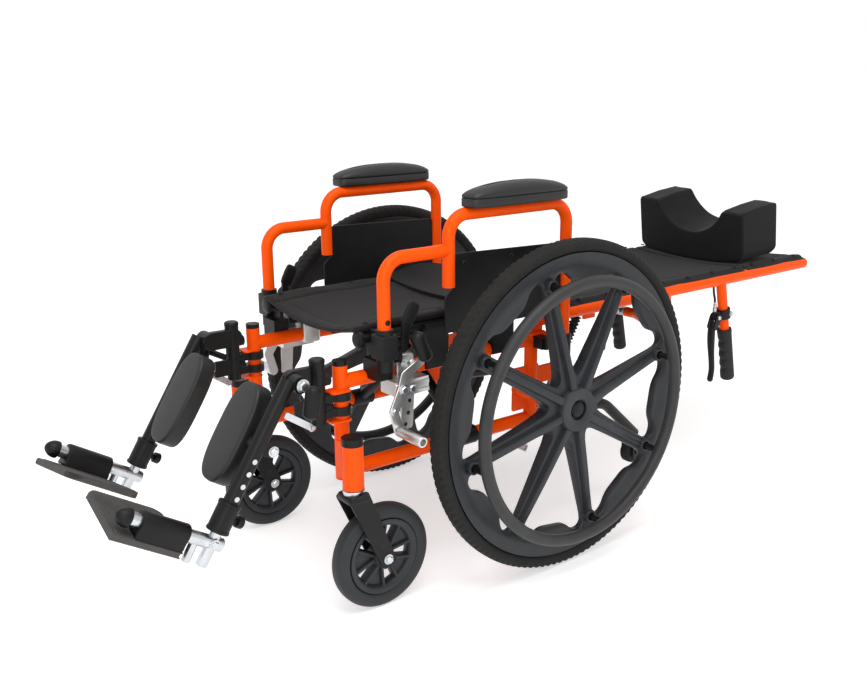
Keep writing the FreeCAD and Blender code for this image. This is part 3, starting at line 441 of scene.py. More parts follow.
def link_outline(first, first_r, second, second_r, sides=14):
    """The hull of two discs in a plane."""
    first, second = np.asarray(first, float), np.asarray(second, float)
    way = second - first
    lean = math.acos(np.clip((first_r - second_r) / np.linalg.norm(way), -1, 1))
    heading = math.atan2(way[1], way[0])
    near = heading + np.linspace(lean, TAU - lean, sides)
    far = heading + np.linspace(-lean, lean, sides)
    return np.concatenate([first + first_r * np.stack([np.cos(near), np.sin(near)], -1),
                           second + second_r * np.stack([np.cos(far), np.sin(far)], -1)])


def rounded_block(centre, half, power=8.0, across=24, tilt=0.0):
    """Closed rounded block: superellipse sections along Z that draw in at the two ends."""
    level_at = np.array([-1, -0.985, -0.94, -0.85, -0.4, 0, 0.4, 0.85, 0.94, 0.985, 1])
    share = np.maximum((1 - np.abs(level_at) ** power) ** (1 / power), 0.55)
    flat = share[:, None, None] * superellipse(half[0], half[1], power, across)[None]
    points = np.concatenate([flat, np.repeat((level_at * half[2])[:, None, None], across, 1)], -1)
    c, s = math.cos(tilt), math.sin(tilt)
    turn_x = np.array([[1, 0, 0], [0, c, -s], [0, s, c]])
    return grid(points @ turn_x.T + np.asarray(centre))


print("a rounded block has", len(rounded_block((0, 0, 0), (1, 1, 1))[0]), "points")

# %% [markdown]
# Fasteners. The chair is bolted together with plated hexagon heads on washers, and its cloth is held
# by black round screws. They are small and many, so each is a turned shape with few sides.

# %% Fasteners
WASHER_THICK, WASHER_EASE, HEAD_CHAMFER = 0.0015, 0.0002, 0.0012


def hex_head(place, axis, across=0.013, height=0.006):
    """Hexagon bolt head with a chamfered top and its washer: corners at across / sqrt(3)."""
    r = across / math.sqrt(3)
    head = lathe(place, axis, [(WASHER_THICK, r), (height - HEAD_CHAMFER, r), (height, r * 0.82)], 6)
    washer_rows = [(0, r * 1.3), (WASHER_THICK, r * 1.3), (WASHER_THICK + WASHER_EASE, r * 1.2)]
    return [(head, ZINC), (lathe(place, axis, washer_rows, 24), ZINC)]


def dome_head(place, axis, radius=0.006, height=0.004):
    """Round screw head: a cap of radius and height, with a socket dished into its crown."""
    s = np.linspace(0, 1, 7) * math.pi / 2
    rows = np.stack([height * np.sin(s), radius * np.cos(s * 0.75)], -1)
    socket = [(height * 0.95, radius * 0.3), (height * 0.45, radius * 0.26)]
    return lathe(place, axis, np.concatenate([rows, socket]), 20)


print("a hexagon head and its washer have", sum(len(f) for (_, f), _ in hex_head((0, 0, 0), X_WAY)), "faces")

# %% [markdown]
# Pieces. A piece is one mesh of several shapes and finishes, which rides on a body of the chair. Most
# come in pairs, so the left one is worked out and the right one is its mirror image. A mirror modifier
# would join both sides into one object, but each side has to move with its own body.

# %% Pieces and pairs


def mirror(shape, s):
    """The same shape on the other side: x times s, faces turned to match."""
    points, faces = shape
    if s > 0:
        return shape
    return points * np.array([-1.0, 1, 1]), [f[::-1] for f in faces]


def piece(name, parts, body, stands_for=(), sharp=38.0):
    """Join (shape, material) parts into one object that rides on a body, or on none."""
    finishes = []
    points, faces, marks = [], [], []
    count = 0
    for shape, material in parts:
        if material not in finishes:
            finishes.append(material)
        shape_points, shape_faces = shape
        points.append(shape_points)
        faces += [[i + count for i in f] for f in shape_faces]
        marks += [finishes.index(material)] * len(shape_faces)
        count += len(shape_points)
    mesh = bpy.data.meshes.new(name)
    mesh.from_pydata(np.concatenate(points).tolist(), [], faces)
    for material in finishes:
        mesh.materials.append(material)
    mesh.polygons.foreach_set("material_index", marks)
    mesh.polygons.foreach_set("use_smooth", [True] * len(faces))
    mesh.set_sharp_from_angle(angle=math.radians(sharp))
    item = bpy.data.objects.new(name, mesh)
    scene.collection.objects.link(item)
    if body:
        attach(item, body)
    if stands_for:
        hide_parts(*stands_for)
    print(name, len(faces), "faces on", body or "two bodies")
    return item


def pair(name, parts, body, stands_for="", sharp=38.0):
    """A left piece and its mirror image, on the left and right bodies."""
    made = []
    for side, s in SIDES:
        turned = [(mirror(shape, s), material) for shape, material in parts]
        replaced = [f"{stands_for}_{side}"] if stands_for else []
        made.append(piece(f"{name}_{side}", turned, f"{body}_{side}", replaced, sharp))
    return made


def both_sides(parts):
    """Left parts and their mirror images in one list, for a piece that spans the chair."""
    return [(mirror(shape, s), material) for shape, material in parts for _, s in SIDES]


print("sides", [side for side, _ in SIDES])

# %% [markdown]
# Finishes on the construction parts that stay visible. Tubes and brackets already have their real
# shape there, so a part keeps its own mesh and only takes a better material, chosen by the first
# words of its name.

# %% Finishes of the construction parts
NODE_FINISH = {
    "side_frame": ORANGE, "back_cane": ORANGE, "arm_frame": ORANGE, "spreader_bar": ORANGE,
    "frame_caps": BLACK_PLASTIC, "axles": ZINC, "cross_brace": BLACK_COAT, "seat_saddles": BLACK_PLASTIC,
    "lever_clamps": BLACK_PLASTIC, "spreader_hinge": ZINC, "lock_housing": ZINC,
    "arm_sockets": BLACK_PLASTIC, "anti_tippers": BLACK_COAT, "tip_wheel": TYRE_RUBBER,
    "leg_hanger": BLACK_COAT, "leg_tube": BLACK_COAT,
}
for node_name, item in nodes.items():
    for start, material in NODE_FINISH.items():
        if node_name.startswith(start):
            item.data.materials.clear()
            item.data.materials.append(material)
print("construction parts shown", sum(n.startswith(tuple(NODE_FINISH)) for n in nodes))

# %% [markdown]
# Rear tyres. On the real chair they are black rubber with a block tread. A bump map would give the
# look but not the jagged outline, so the tread is cut by a formula in the turn angle: slanted blocks
# on each shoulder, fine grooves round the crown and moulding lines on the side wall.

# %% Rear tyres
WHEEL_X, AXLE_Z = 0.281, 0.305
TYRE_R, TYRE_HALF, RIM_R = 0.305, 0.017, 0.281
BLOCKS, BLOCK_SLANT = 126, 260
BLOCK_DEPTH, GROOVE_DEPTH, LINE_DEPTH = 0.0019, 0.0008, 0.0003
SHOULDER_OUT, SHOULDER_R, CROWN_R, WALL_R = 0.0050, 0.2945, 0.3025, 0.2935
GROOVE_STEP, LINE_STEP = 0.0036, 0.0030


def tyre_section(turns=756):
    """Section rows (across, radius) for every turn step.

    The outline is a superellipse about the tyre's middle; the tread lowers it by a groove depth
    where sin(blocks * turn + slant * across) is negative on the shoulders. Shoulder, crown and wall
    each fade in over 1 to 2 mm."""
    mid_r, half_r = (TYRE_R + RIM_R) / 2, (TYRE_R - RIM_R) / 2
    around = np.linspace(0, TAU, 72, endpoint=False)
    c, s = np.cos(around), np.sin(around)
    across = TYRE_HALF * np.sign(s) * np.abs(s) ** 0.75
    radius = mid_r + half_r * np.sign(c) * np.abs(c) ** 0.8
    angle = np.linspace(0, TAU, turns, endpoint=False)[:, None]
    shoulder = np.clip((np.abs(across) - SHOULDER_OUT) / 0.002, 0, 1)
    shoulder = shoulder * np.clip((radius - SHOULDER_R) / 0.002, 0, 1)
    blocks = 1 / (1 + np.exp(9 * np.sin(BLOCKS * angle + BLOCK_SLANT * np.abs(across)[None])))
    crown = np.clip((radius - CROWN_R) / 0.0015, 0, 1) * (0.5 + 0.5 * np.cos(across / GROOVE_STEP * TAU))
    wall = np.clip((WALL_R - radius) / 0.001, 0, 1) * (0.5 + 0.5 * np.cos(radius / LINE_STEP * TAU))
    depth = BLOCK_DEPTH * shoulder * blocks + GROOVE_DEPTH * crown[None]
    across = across - LINE_DEPTH * wall * np.sign(across)
    return np.stack([np.repeat(across[None], turns, 0), radius[None] - depth], -1)


HUB = np.array((WHEEL_X, 0, AXLE_Z))
pair("tyre_tread", [(ring_about_x(HUB, tyre_section()), TYRE_RUBBER)], "wheel", "tyre", 50)

# %% [markdown]
# Moulded wheels. The real wheel is one plastic moulding with eight spokes. Cutting windows out of
# a disc with a boolean would leave rough faces, so the disc is made of eight equal sectors, each with
# one rounded window. The window's outer edge swells inwards between the spokes.
# Ridges run up the spokes, and sockets near the rim hold the stems of the hand ring.

# %% Moulded wheels
SPOKES = 8
SPOKE_TURN = math.radians(14.0)
SECTOR = TAU / SPOKES
RING_X, RING_R, RING_TUBE = 0.330, 0.236, 0.011
HUB_R = 0.029
WINDOW_HALF = [(0, 58), (9, 67), (15.0, 105), (17.7, 160), (18.9, 212), (19.4, 242), (17.2, 253), (12.5, 250),
               (9.0, 231), (4.5, 227)]


def face_height(radius):
    """How far the wheel's outer face stands out: a dish towards the hub and a step up to the rim.

    In mm it is 6.5 + 12 (245 - r) / 200 + 6.5 t^2 (3 - 2 t), with t = (r - 240) / 22, all clipped."""
    dish = 0.012 * np.clip((0.245 - radius) / 0.20, 0, 1)
    step = np.clip((radius - 0.240) / 0.022, 0, 1)
    return 0.0065 + dish + 0.0065 * step ** 2 * (3 - 2 * step)


def sector(number):
    """One eighth of the wheel: a closed skin between a window and the wedge round it.

    Points are held as (turn, radius); the wedge edge is the window point divided by the larger of
    its two distances from the wedge's middle, so the rows between them never cross."""
    half = np.array(WINDOW_HALF, float)
    loop = np.concatenate([half, [(0, 227)], (half[1:] * (-1, 1))[::-1]])
    window = smooth(loop, 112, closed=True) * (math.pi / 180, 0.001)
    middle_r, half_r = (RIM_R + HUB_R) / 2, (RIM_R - HUB_R) / 2
    scaled = (window - (0, middle_r)) / (SECTOR / 2, half_r)
    edge = scaled / np.abs(scaled).max(axis=1, keepdims=True)
    for corner in ((1, 1), (1, -1), (-1, 1), (-1, -1)):
        edge[np.argmin(np.linalg.norm(edge - corner, axis=1))] = corner
    wedge = edge * (SECTOR / 2, half_r) + (0, middle_r)
    rows = []
    front = [(1.0, 0.0), (0.75, 0.0), (0.5, 0.0), (0.3, 0.0), (0.16, 0.0), (0.07, 0.0008), (0.0, 0.0030)]
    for sign, shares in ((1, front), (-1, front[::-1])):
        for share, drop in shares:
            polar = window + share * (wedge - window)
            angle = SPOKE_TURN + (number + 0.5) * SECTOR + polar[:, 0]
            face = face_height(polar[:, 1])
            x = face - drop if sign > 0 else -0.5 * face - 0.003 + drop
            rows.append(np.stack([x, -polar[:, 1] * np.sin(angle), polar[:, 1] * np.cos(angle)], -1))
    return grid(np.stack(rows) + HUB, wrap_rows=True)


def ridge(turn_angle):
    """The raised rib up one spoke: half width 8.5 mm easing to 6.7, 9.5 mm high easing to 4."""
    reach = np.linspace(0.036, 0.240, 20)
    t = (reach - reach[0]) / (reach[-1] - reach[0])
    half, high = 0.0085 - 0.0018 * t, 0.0095 - 0.0055 * t ** 3
    cross = np.array([(-1.15, -0.3), (-1, 0.15), (-0.78, 0.9), (-0.6, 1), (0.6, 1), (0.78, 0.9), (1, 0.15),
                      (1.15, -0.3)])
    y = half[:, None] * cross[None, :, 0]
    x = face_height(reach)[:, None] + high[:, None] * cross[None, :, 1]
    z = np.repeat(reach[:, None], len(cross), 1)
    c, s = math.cos(turn_angle), math.sin(turn_angle)
    return grid(np.stack([x, y * c - z * s, y * s + z * c], -1) + HUB)


HUB_ROWS = [(-0.032, 0.026), (-0.031, 0.028), (-0.012, 0.030), (-0.009, 0.040), (0.010, 0.0440),
            (0.018, 0.0420), (0.0285, 0.0405), (0.030, 0.0390), (0.030, 0.0205), (0.0290, 0.0192),
            (0.0225, 0.0190)]
CAP_ROWS = [(0.021, 0.0152), (0.0262, 0.0152), (0.0280, 0.0140), (0.0292, 0.0105), (0.0298, 0.0055),
            (0.0300, 0.0010)]
SOCKET_ROWS = [(-0.004, 0.0135), (0.004, 0.0125), (0.0085, 0.0118), (0.0095, 0.0108), (0.0095, 0.0085),
               (0.0030, 0.0080)]
wheel_parts = [(lathe(HUB, X_WAY, HUB_ROWS, 64), WHEEL_PLASTIC),
               (lathe(HUB, X_WAY, CAP_ROWS, 48), BLACK_PLASTIC)]
tube = np.array((RING_X, RING_R)) + circle(RING_TUBE, 24)
ring_parts = [(ring_about_x((0, 0, AXLE_Z), tube, 256), HANDRIM_PLASTIC)]
for n in range(SPOKES):
    angle = SPOKE_TURN + n * SECTOR
    way = np.array((0, -math.sin(angle), math.cos(angle)))
    wheel_parts += [(sector(n), WHEEL_PLASTIC), (ridge(angle), WHEEL_PLASTIC)]
    seat_of_stem = HUB + np.array((face_height(RING_R), 0, 0)) + RING_R * way
    wheel_parts.append((lathe(seat_of_stem, X_WAY, SOCKET_ROWS, 28), WHEEL_PLASTIC))
    stem = [(0, 0.0062), (0.030, 0.0060), (RING_X - seat_of_stem[0], 0.0075)]
    ring_parts.append((lathe(seat_of_stem, X_WAY, stem, 20), BLACK_PLASTIC))
pair("moulded_wheel", wheel_parts, "wheel", "rear_wheel")
pair("hand_ring", ring_parts, "wheel", "handrim")

# %% [markdown]
# Casters: a solid tyre on a five-spoke moulding, in a fork of two flat blades with a plated bolt.
# The wheel is turned about its axle, and each spoke is two ribs carried along a line with a thin web
# between them. The fork's blades are plates, because the real ones are bent from flat bar.

# %% Casters
CASTER = np.array((0.200, -0.358, 0.093))
STEM_Y = -0.408
CASTER_HALF = 0.015
CASTER_MIDDLE_R, CASTER_WALL = 0.0795, 0.0135
CASTER_SPOKES, CASTER_TURN, SPOKE_SPREAD = 5, 0.25, 0.37
SPOKE_FOOT_R, SPOKE_HEAD_R, WEB_HALF = 0.017, 0.058, 0.0040
BLADE_TOP = np.array((STEM_Y + 0.002, 0.206))
BLADE_IN, BLADE_OUT = 0.0200, 0.0240
BLADE_HALF, BLADE_FOOT_HALF, BLADE_CORNER = 0.0190, 0.0145, 0.006


def caster_parts():
    """Tyre, rim and hub turned about the axle, and five spokes of two ribs with a thin web between."""
    t = np.linspace(0, TAU, 32, endpoint=False)
    c, s = np.cos(t), np.sin(t)
    tread = np.stack([CASTER_HALF * np.sign(s) * np.abs(s) ** 0.7,
                      CASTER_MIDDLE_R + CASTER_WALL * np.sign(c) * np.abs(c) ** 0.7], -1)
    rim = [(-0.013, 0.067), (-0.013, 0.060), (-0.010, 0.056), (-0.003, 0.053), (0.003, 0.053), (0.010, 0.056),
           (0.013, 0.060), (0.013, 0.067)]
    core = [(-0.0165, 0.010), (-0.0165, 0.017), (-0.012, 0.020), (0.012, 0.020), (0.0165, 0.017),
            (0.0165, 0.010)]
    parts = [(ring_about_x(CASTER, tread, 128), CASTER_RUBBER),
             (ring_about_x(CASTER, rim, 96), WHEEL_PLASTIC),
             (lathe(CASTER, X_WAY, core, 40), WHEEL_PLASTIC)]
    for n in range(CASTER_SPOKES):
        web = []
        for spread in (-SPOKE_SPREAD, SPOKE_SPREAD):
            inner = n * TAU / CASTER_SPOKES + CASTER_TURN + spread * 0.5
            outer = n * TAU / CASTER_SPOKES + CASTER_TURN + spread
            foot = CASTER + SPOKE_FOOT_R * np.array((0, -math.sin(inner), math.cos(inner)))
            head = CASTER + SPOKE_HEAD_R * np.array((0, -math.sin(outer), math.cos(outer)))
            path = foot + np.linspace(0, 1, 5)[:, None] * (head - foot)
            parts.append((along(path, superellipse(0.0036, 0.0105, 3.0, 16)), WHEEL_PLASTIC))
            web += [foot[1:], head[1:]]
        outline = np.array([web[0], web[1], web[3], web[2]])
        parts.append((plate(outline, CASTER[0] - WEB_HALF, CASTER[0] + WEB_HALF, 0.0004), WHEEL_PLASTIC))
    return parts


def fork_parts():
    """Two blades from the crown back to the axle, the crown, its collar and the wheel bolt."""
    axle = CASTER[1:]
    down = (axle - BLADE_TOP) / np.linalg.norm(axle - BLADE_TOP)
    side = np.array((-down[1], down[0]))
    top, foot = BLADE_TOP - down * 0.016, axle + down * BLADE_FOOT_HALF
    wide, narrow = side * BLADE_HALF, side * BLADE_FOOT_HALF
    blade = rounded([top - wide, top + wide, foot + narrow, foot - narrow], BLADE_CORNER)
    parts = []
    for s in (1, -1):
        inner, outer = CASTER[0] + s * BLADE_IN, CASTER[0] + s * BLADE_OUT
        parts.append((plate(blade, min(inner, outer), max(inner, outer)), BLACK_COAT))
        # A thin dark disc on each blade's outer face stands for the hole above the axle: painted shade, not a
        # cut.
        hole = BLADE_TOP * 0.24 + axle * 0.76
        parts.append((lathe((outer, *hole), (s, 0, 0), [(0.0003, 0.0042), (0.0004, 0.002)], 20), GRIP_RUBBER_AND_HOLE_SHADE))
        parts += hex_head((outer, *axle), (s, 0, 0), 0.012, 0.007)
    parts.append((rounded_block((CASTER[0], STEM_Y, 0.2135), (0.0245, 0.0205, 0.0065), 6.0), BLACK_COAT))
    collar = [(0, 0.0175), (0.004, 0.0185), (0.0085, 0.0185), (0.0095, 0.017)]
    parts.append((lathe((CASTER[0], STEM_Y, 0.2185), Z_WAY, collar, 40), ZINC))
    return parts


pair("caster", caster_parts(), "caster", "caster_wheel")
pair("fork", fork_parts(), "fork", "caster_fork")

# %% [markdown]
# Upholstery. Each sling is a padded band of cloth hung between two tubes: it wraps a little round the
# tube at each edge, sags in the middle and ripples along its hems. A row of screws holds each edge.
# It could be a cloth simulation, but cloth that is pulled this tight is a simple sag with ripples.

# %% Slings
HEM_EASE, SEAM_IN, END_SEAM, SIDE_SEAM, DROOP_REACH = 0.012, 0.024, 0.22, 0.45, 0.070


def sling(low, high, edge_z, sag, thick, ripple, wrap=0.010, seed=0.0, front_drop=0.0, stitch=0.034):
    """Closed sheet between x = -w and w: z = edge - sag (1 - (x/w)^2) + ripples, with rounded edges.

    The front end hangs lower by front_drop, fading as exp(-(y/70 mm)^2). A stitched hem lies along
    each side. Columns go round the section: over the top, and back underneath."""
    half = high[0]
    y = np.linspace(low[1], high[1], 110)
    x = np.linspace(-1, 1, 81)
    rim = np.linspace(-math.pi / 2, math.pi / 2, 7)[1:-1]
    profile_x = np.concatenate([x * half, half + thick / 2 * np.cos(rim[::-1]), x[::-1] * half,
                                -half - thick / 2 * np.cos(rim)])
    profile_side = np.concatenate([np.ones(81), np.sin(rim[::-1]), -np.ones(81), np.sin(rim)])
    share = np.clip(np.abs(profile_x) / half, 0, 1)
    curve = -sag * (1 - share ** 2) - wrap * np.clip((share - 0.93) / 0.07, 0, 1) ** 2
    from_end = np.minimum(y - low[1], high[1] - y)
    ends = np.clip(from_end / HEM_EASE, 0, 1)
    puff = 0.35 + 0.65 * np.sqrt(1 - (1 - ends) ** 2)
    end_seam = 1 - END_SEAM * np.exp(-((from_end - SEAM_IN) / 0.0025) ** 2)
    side_seam = 1 - SIDE_SEAM * np.exp(-(((1 - share) * half - stitch) / 0.004) ** 2) * (profile_side > 0)
    waves = ripple * (np.sin(46 * y[:, None] + 9 * share[None] + seed) * share[None] ** 4
                      + 0.6 * np.sin(21 * profile_x[None] + 30 * y[:, None] + seed))
    droop = front_drop * np.exp(-((y - low[1]) / DROOP_REACH) ** 2)[:, None] * (1 - share[None] ** 2.5)
    body = thick / 2 * profile_side[None] * (puff * end_seam)[:, None] * side_seam[None]
    z = edge_z + curve[None] + waves - droop + body
    across, lengthwise = np.broadcast_arrays(profile_x[None], y[:, None])
    return grid(np.stack([across, lengthwise, z], -1))


SCREW_R, SCREW_HIGH, SCREW_LEAN, FIRST_SCREW = 0.0048, 0.0026, (0.12, 0, 1), 0.03


def edge_screws(low, high, edge_z, inset, count):
    """Round heads along both side hems, in equal steps between the first and the last."""
    rows = np.linspace(low[1] + FIRST_SCREW, high[1] - FIRST_SCREW, count)
    heads = [dome_head((high[0] - inset, y, edge_z), SCREW_LEAN, SCREW_R, SCREW_HIGH) for y in rows]
    return both_sides([(head, BLACK_PLASTIC) for head in heads])


SEAT_LIP, BACK_SAG = 0.009, 0.011
BACK_FORM = {"sag": BACK_SAG, "thick": 0.008, "ripple": 0.0008, "wrap": 0.008}
seat_low, seat_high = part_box("seat_sling")
back_low, back_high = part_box("back_sling")
head_low, head_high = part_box("head_sling")
seat_low.y -= SEAT_LIP
seat_cloth = sling(seat_low, seat_high, seat_high.z - 0.001, sag=0.016, thick=0.012, ripple=0.0010,
                   wrap=0.002, front_drop=0.006)
back_cloth = sling(back_low, back_high, back_high.z - 0.003, seed=1.0, **BACK_FORM)
head_cloth = sling(head_low, head_high, head_high.z - 0.003, seed=2.0, **BACK_FORM)
cushions = [piece("seat_upholstery", [(seat_cloth, CLOTH)], "frame", ["seat_sling"]),
            piece("back_upholstery", [(back_cloth, CLOTH)], "backrest", ["back_sling"]),
            piece("head_upholstery", [(head_cloth, CLOTH)], "backrest", ["head_sling"])]
seat_screws = edge_screws(seat_low, seat_high, seat_high.z + 0.0025, inset=0.006, count=5)
back_screws = edge_screws(back_low, back_high, back_high.z + 0.0005, inset=0.005, count=7)
back_screws += edge_screws(head_low, head_high, head_high.z + 0.0005, inset=0.005, count=3)
piece("seat_screws", seat_screws, "frame")
piece("back_screws", back_screws, "backrest")

# %% [markdown]
# Behind the seat a flap of cloth bridges the gap to the back. It lies on the seat in front and stands up
# along both sides. It is built in place, its transform is baked into its mesh, and it rides on no body.

# %% Flap behind the seat
FLAP_HALF, FLAP_THICK, FLAP_POWER = 0.140, 0.004, 2.2


def flap():
    """Closed sheet z = middle(y) + (edge(y) - middle(y)) |x / w|^power, from rows (y, middle, edge)."""
    rear = back_high.z
    rows = smooth([(-0.105, 0.4800, 0.4915), (-0.070, 0.4800, 0.4950), (-0.030, 0.4780, 0.5060),
                   (0.035, 0.4700, 0.5000), (0.080, rear, rear + 0.020),
                   (0.120, rear - 0.007, rear + 0.0035)], 50)
    u = np.linspace(-1, 1, 41)
    z = rows[:, 1:2] + (rows[:, 2:] - rows[:, 1:2]) * np.abs(u)[None] ** FLAP_POWER
    x, y = np.repeat(u[None] * FLAP_HALF, 50, 0), np.repeat(rows[:, :1], 41, 1)
    top = np.stack([x, y, z + FLAP_THICK / 2], -1)
    bottom = np.stack([x, y, z - FLAP_THICK / 2], -1)[:, ::-1]
    length = np.linalg.norm(np.diff(rows[:, :2], axis=0), axis=1).sum()
    print("flap cut", round(2 * FLAP_HALF, 3), "by", round(float(length), 3), "m")
    return grid(np.concatenate([top, bottom], 1))


seat_flap = piece("seat_flap", [(flap(), PILLOW_CLOTH)], "")
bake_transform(seat_flap)

# %% [markdown]
# Head pillow: a foam block under sewn cloth, with crisp seams, high at both ends and a round hollow
# for the neck. It could be sculpted, but its form is plain: sections along X between a bottom and a
# top line. The bottom corners are bevelled, and the wide faces swell a little.

# %% Head pillow
pillow_low, pillow_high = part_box("head_pillow")
PILLOW_PITCH = math.radians(7.5)
PILLOW_SHIFT = (-0.007, -0.004)
FULLER_HORN = 0.014
HOLLOW_DEPTH, HOLLOW_REACH, HORN_SHARPNESS = 0.062, 0.094, 420
PILLOW_EDGE, BEVEL_LONG, BEVEL_RISE = 0.006, 0.015, 0.013
PILLOW_SWELL, PILLOW_CROWN, PILLOW_PUCKER = 0.004, 0.003, 0.0007


def pillow():
    """Sections along X: a box with 6 mm edges between a bottom and a top line.

    top(x) = centre height - sqrt(R^2 - x^2) inside the hollow, met by the flat horns through a soft
    minimum -log(exp(-k a) + exp(-k b)) / k. bottom(x) rises over the last 15 mm at each end.
    The right horn is a little fuller, and the whole pillow is pitched forward on its front edge."""
    half = pillow_high.x
    x = np.sin(np.linspace(-1, 1, 101) * math.pi / 2) * half
    horn = pillow_high.z - PILLOW_CROWN
    radius = (HOLLOW_DEPTH ** 2 + HOLLOW_REACH ** 2) / (2 * HOLLOW_DEPTH)
    hollow = horn - HOLLOW_DEPTH + radius - np.sqrt(np.maximum(radius ** 2 - x ** 2, 0))
    top = -np.log(np.exp(-HORN_SHARPNESS * (hollow - horn)) + 1) / HORN_SHARPNESS + horn
    end = np.clip((half - np.abs(x)) / PILLOW_EDGE, 0, 1)
    shrink = PILLOW_EDGE * (1 - np.sqrt(1 - (1 - end) ** 2))
    base = head_high.z - BACK_SAG * (1 - (x / half) ** 2) + 0.0015
    bottom = base + BEVEL_RISE * np.clip((np.abs(x) - half + BEVEL_LONG) / BEVEL_LONG, 0, 1)
    middle_y, half_y = (pillow_low.y + pillow_high.y) / 2, (pillow_high.y - pillow_low.y) / 2
    unit = superellipse(1.0, 1.0, 26.0, 96)
    swell = PILLOW_SWELL * (1 - (x / half) ** 2)
    y = middle_y + unit[None, :, 0] * (half_y - PILLOW_SWELL - shrink + swell * 0.5)[:, None]
    middle_z, half_z = (top + bottom) / 2, (top - bottom) / 2 - shrink
    crown = PILLOW_CROWN * (1 - unit[None, :, 0] ** 2) * (unit[None, :, 1] > 0.9)
    pucker = PILLOW_PUCKER * np.sin(80 * x[:, None] + 31 * unit[None, :, 0]) * np.cos(60 * x[:, None])
    fuller = FULLER_HORN * (0.5 - x / half / 2)[:, None] * (unit[None, :, 1] + 1) / 2
    z = middle_z[:, None] + unit[None, :, 1] * half_z[:, None] + crown + pucker + fuller
    from_front, above = y - pillow_low.y, z - head_high.z
    c, s = math.cos(PILLOW_PITCH), math.sin(PILLOW_PITCH)
    y = pillow_low.y + PILLOW_SHIFT[1] + from_front * c - above * s
    z = head_high.z + from_front * s * (0.45 + 0.55 * (unit[None, :, 1] + 1) / 2) + above * c
    return grid(np.stack([np.repeat(x[:, None], 96, 1) + PILLOW_SHIFT[0], y, z], -1))


head_pad = piece("neck_pillow", [(pillow(), PILLOW_CLOTH)], "backrest", ["head_pillow"], 60)

# %% [markdown]
# Arm pads and calf pads are moulded foam with a tough skin. An arm pad is an upright band with a domed
# cushion over it and a seam between them. A calf pad is a thick oval slab with eased edges.
# Both are ovals that shrink level by level, which keeps the rows apart right up to the crown.

# %% Pads
LEG_LEAN = math.radians(32.3)
LEG_WAY = np.array((0, -math.sin(LEG_LEAN), -math.cos(LEG_LEAN)))
LEG_SIDE = np.array((0, -math.cos(LEG_LEAN), math.sin(LEG_LEAN)))
LEG_X = 0.167
LEG_START = np.array((LEG_X, -0.500, 0.425))
PAD_BAND, PAD_POWER, PAD_ARCH, PAD_DOME = 0.0172, 5.0, 0.62, 2.4
CALF_X, CALF_REACH, CALF_AHEAD = 0.105, 0.112, 0.006
CALF_HALF_LONG, CALF_HALF_WIDE, CALF_POWER = 0.0850, 0.0428, 2.9
CALF_FLAT, CALF_EDGE = 0.0110, 0.0050


def on_leg(reach, ahead=0.0, x=LEG_X):
    """A point at a reach along the left leg tube and ahead of it."""
    point = LEG_START + LEG_WAY * reach + LEG_SIDE * ahead
    return np.array((x, point[1], point[2]))


def nested(half_a, half_b, power, levels, origin, axes):
    """Superellipses whose half axes both shrink by the inset of each level (height, inset)."""
    rows = []
    for height, inset in levels:
        flat = superellipse(half_a - inset, half_b - inset, power, 96)
        rows.append(np.asarray(origin) + flat[:, :1] * axes[0] + flat[:, 1:] * axes[1] + height * axes[2])
    return grid(np.stack(rows))


def arm_pad(low, high):
    """Plan outline raised through levels: band, seam, then a dome where z = h (1 - (1 - i/w)^2.4)^0.45.

    The dome is arched along the pad: its height is scaled by 1 - 0.62 |y / half length|^2.4."""
    half_x, half_y = (high.x - low.x) / 2, (high.y - low.y) / 2
    levels = [(0, 0.002), (0.001, 0.0005), (0.003, 0), (0.014, 0), (0.0148, 0.0006), (0.0156, 0.0018),
              (0.0164, 0.0006), (PAD_BAND, 0)]
    rise = high.z - low.z - PAD_BAND
    for inset in (0.0003, 0.001, 0.0022, 0.004, 0.007, 0.011, 0.015, 0.019, 0.0225):
        levels.append((PAD_BAND + rise * (1 - (1 - inset / half_x) ** PAD_DOME) ** 0.45, inset))
    origin = ((low.x + high.x) / 2, (low.y + high.y) / 2, low.z)
    points, faces = nested(half_x, half_y, PAD_POWER, levels, origin, (X_WAY, Y_WAY, Z_WAY))
    band = low.z + PAD_BAND
    share = np.clip(np.abs(points[:, 1] - origin[1]) / half_y, 0, 1)
    dome = np.maximum(points[:, 2] - band, 0)
    points[:, 2] -= dome * PAD_ARCH * share ** PAD_DOME
    return points, faces


def calf_pad():
    """An oval slab 33 mm thick with 5 mm edges and a face that swells by 1 mm."""
    turn_in = np.linspace(0, math.pi / 2, 7)
    edge = [(CALF_FLAT + CALF_EDGE * math.sin(a), CALF_EDGE * (1 - math.cos(a))) for a in turn_in]
    front = edge + [(0.0163, 0.010), (0.0166, 0.018), (0.0168, 0.028), (0.0169, 0.038)]
    rear = [(-h, i) for h, i in edge][::-1]
    middle = on_leg(CALF_REACH, CALF_AHEAD, CALF_X)
    axes = (LEG_WAY, X_WAY, LEG_SIDE)
    return nested(CALF_HALF_LONG, CALF_HALF_WIDE, CALF_POWER, rear + front, middle, axes)


pad_low, pad_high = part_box("arm_pad_left")
pads = pair("armrest_pad", [(arm_pad(pad_low, pad_high), PAD_SKIN)], "arm", "arm_pad", 60)
pads += pair("calf_rest", [(calf_pad(), PAD_SKIN)], "calf", "calf_pad", 60)

# %% [markdown]
# Footplates. A plated foot tube ends in a bar with a black dome, and a ribbed plastic plate hangs under
# the bar by its sleeve. The ribs could be a bump, but they catch the light at the plate's edge, so
# they are real: a clipped cosine along the plate.

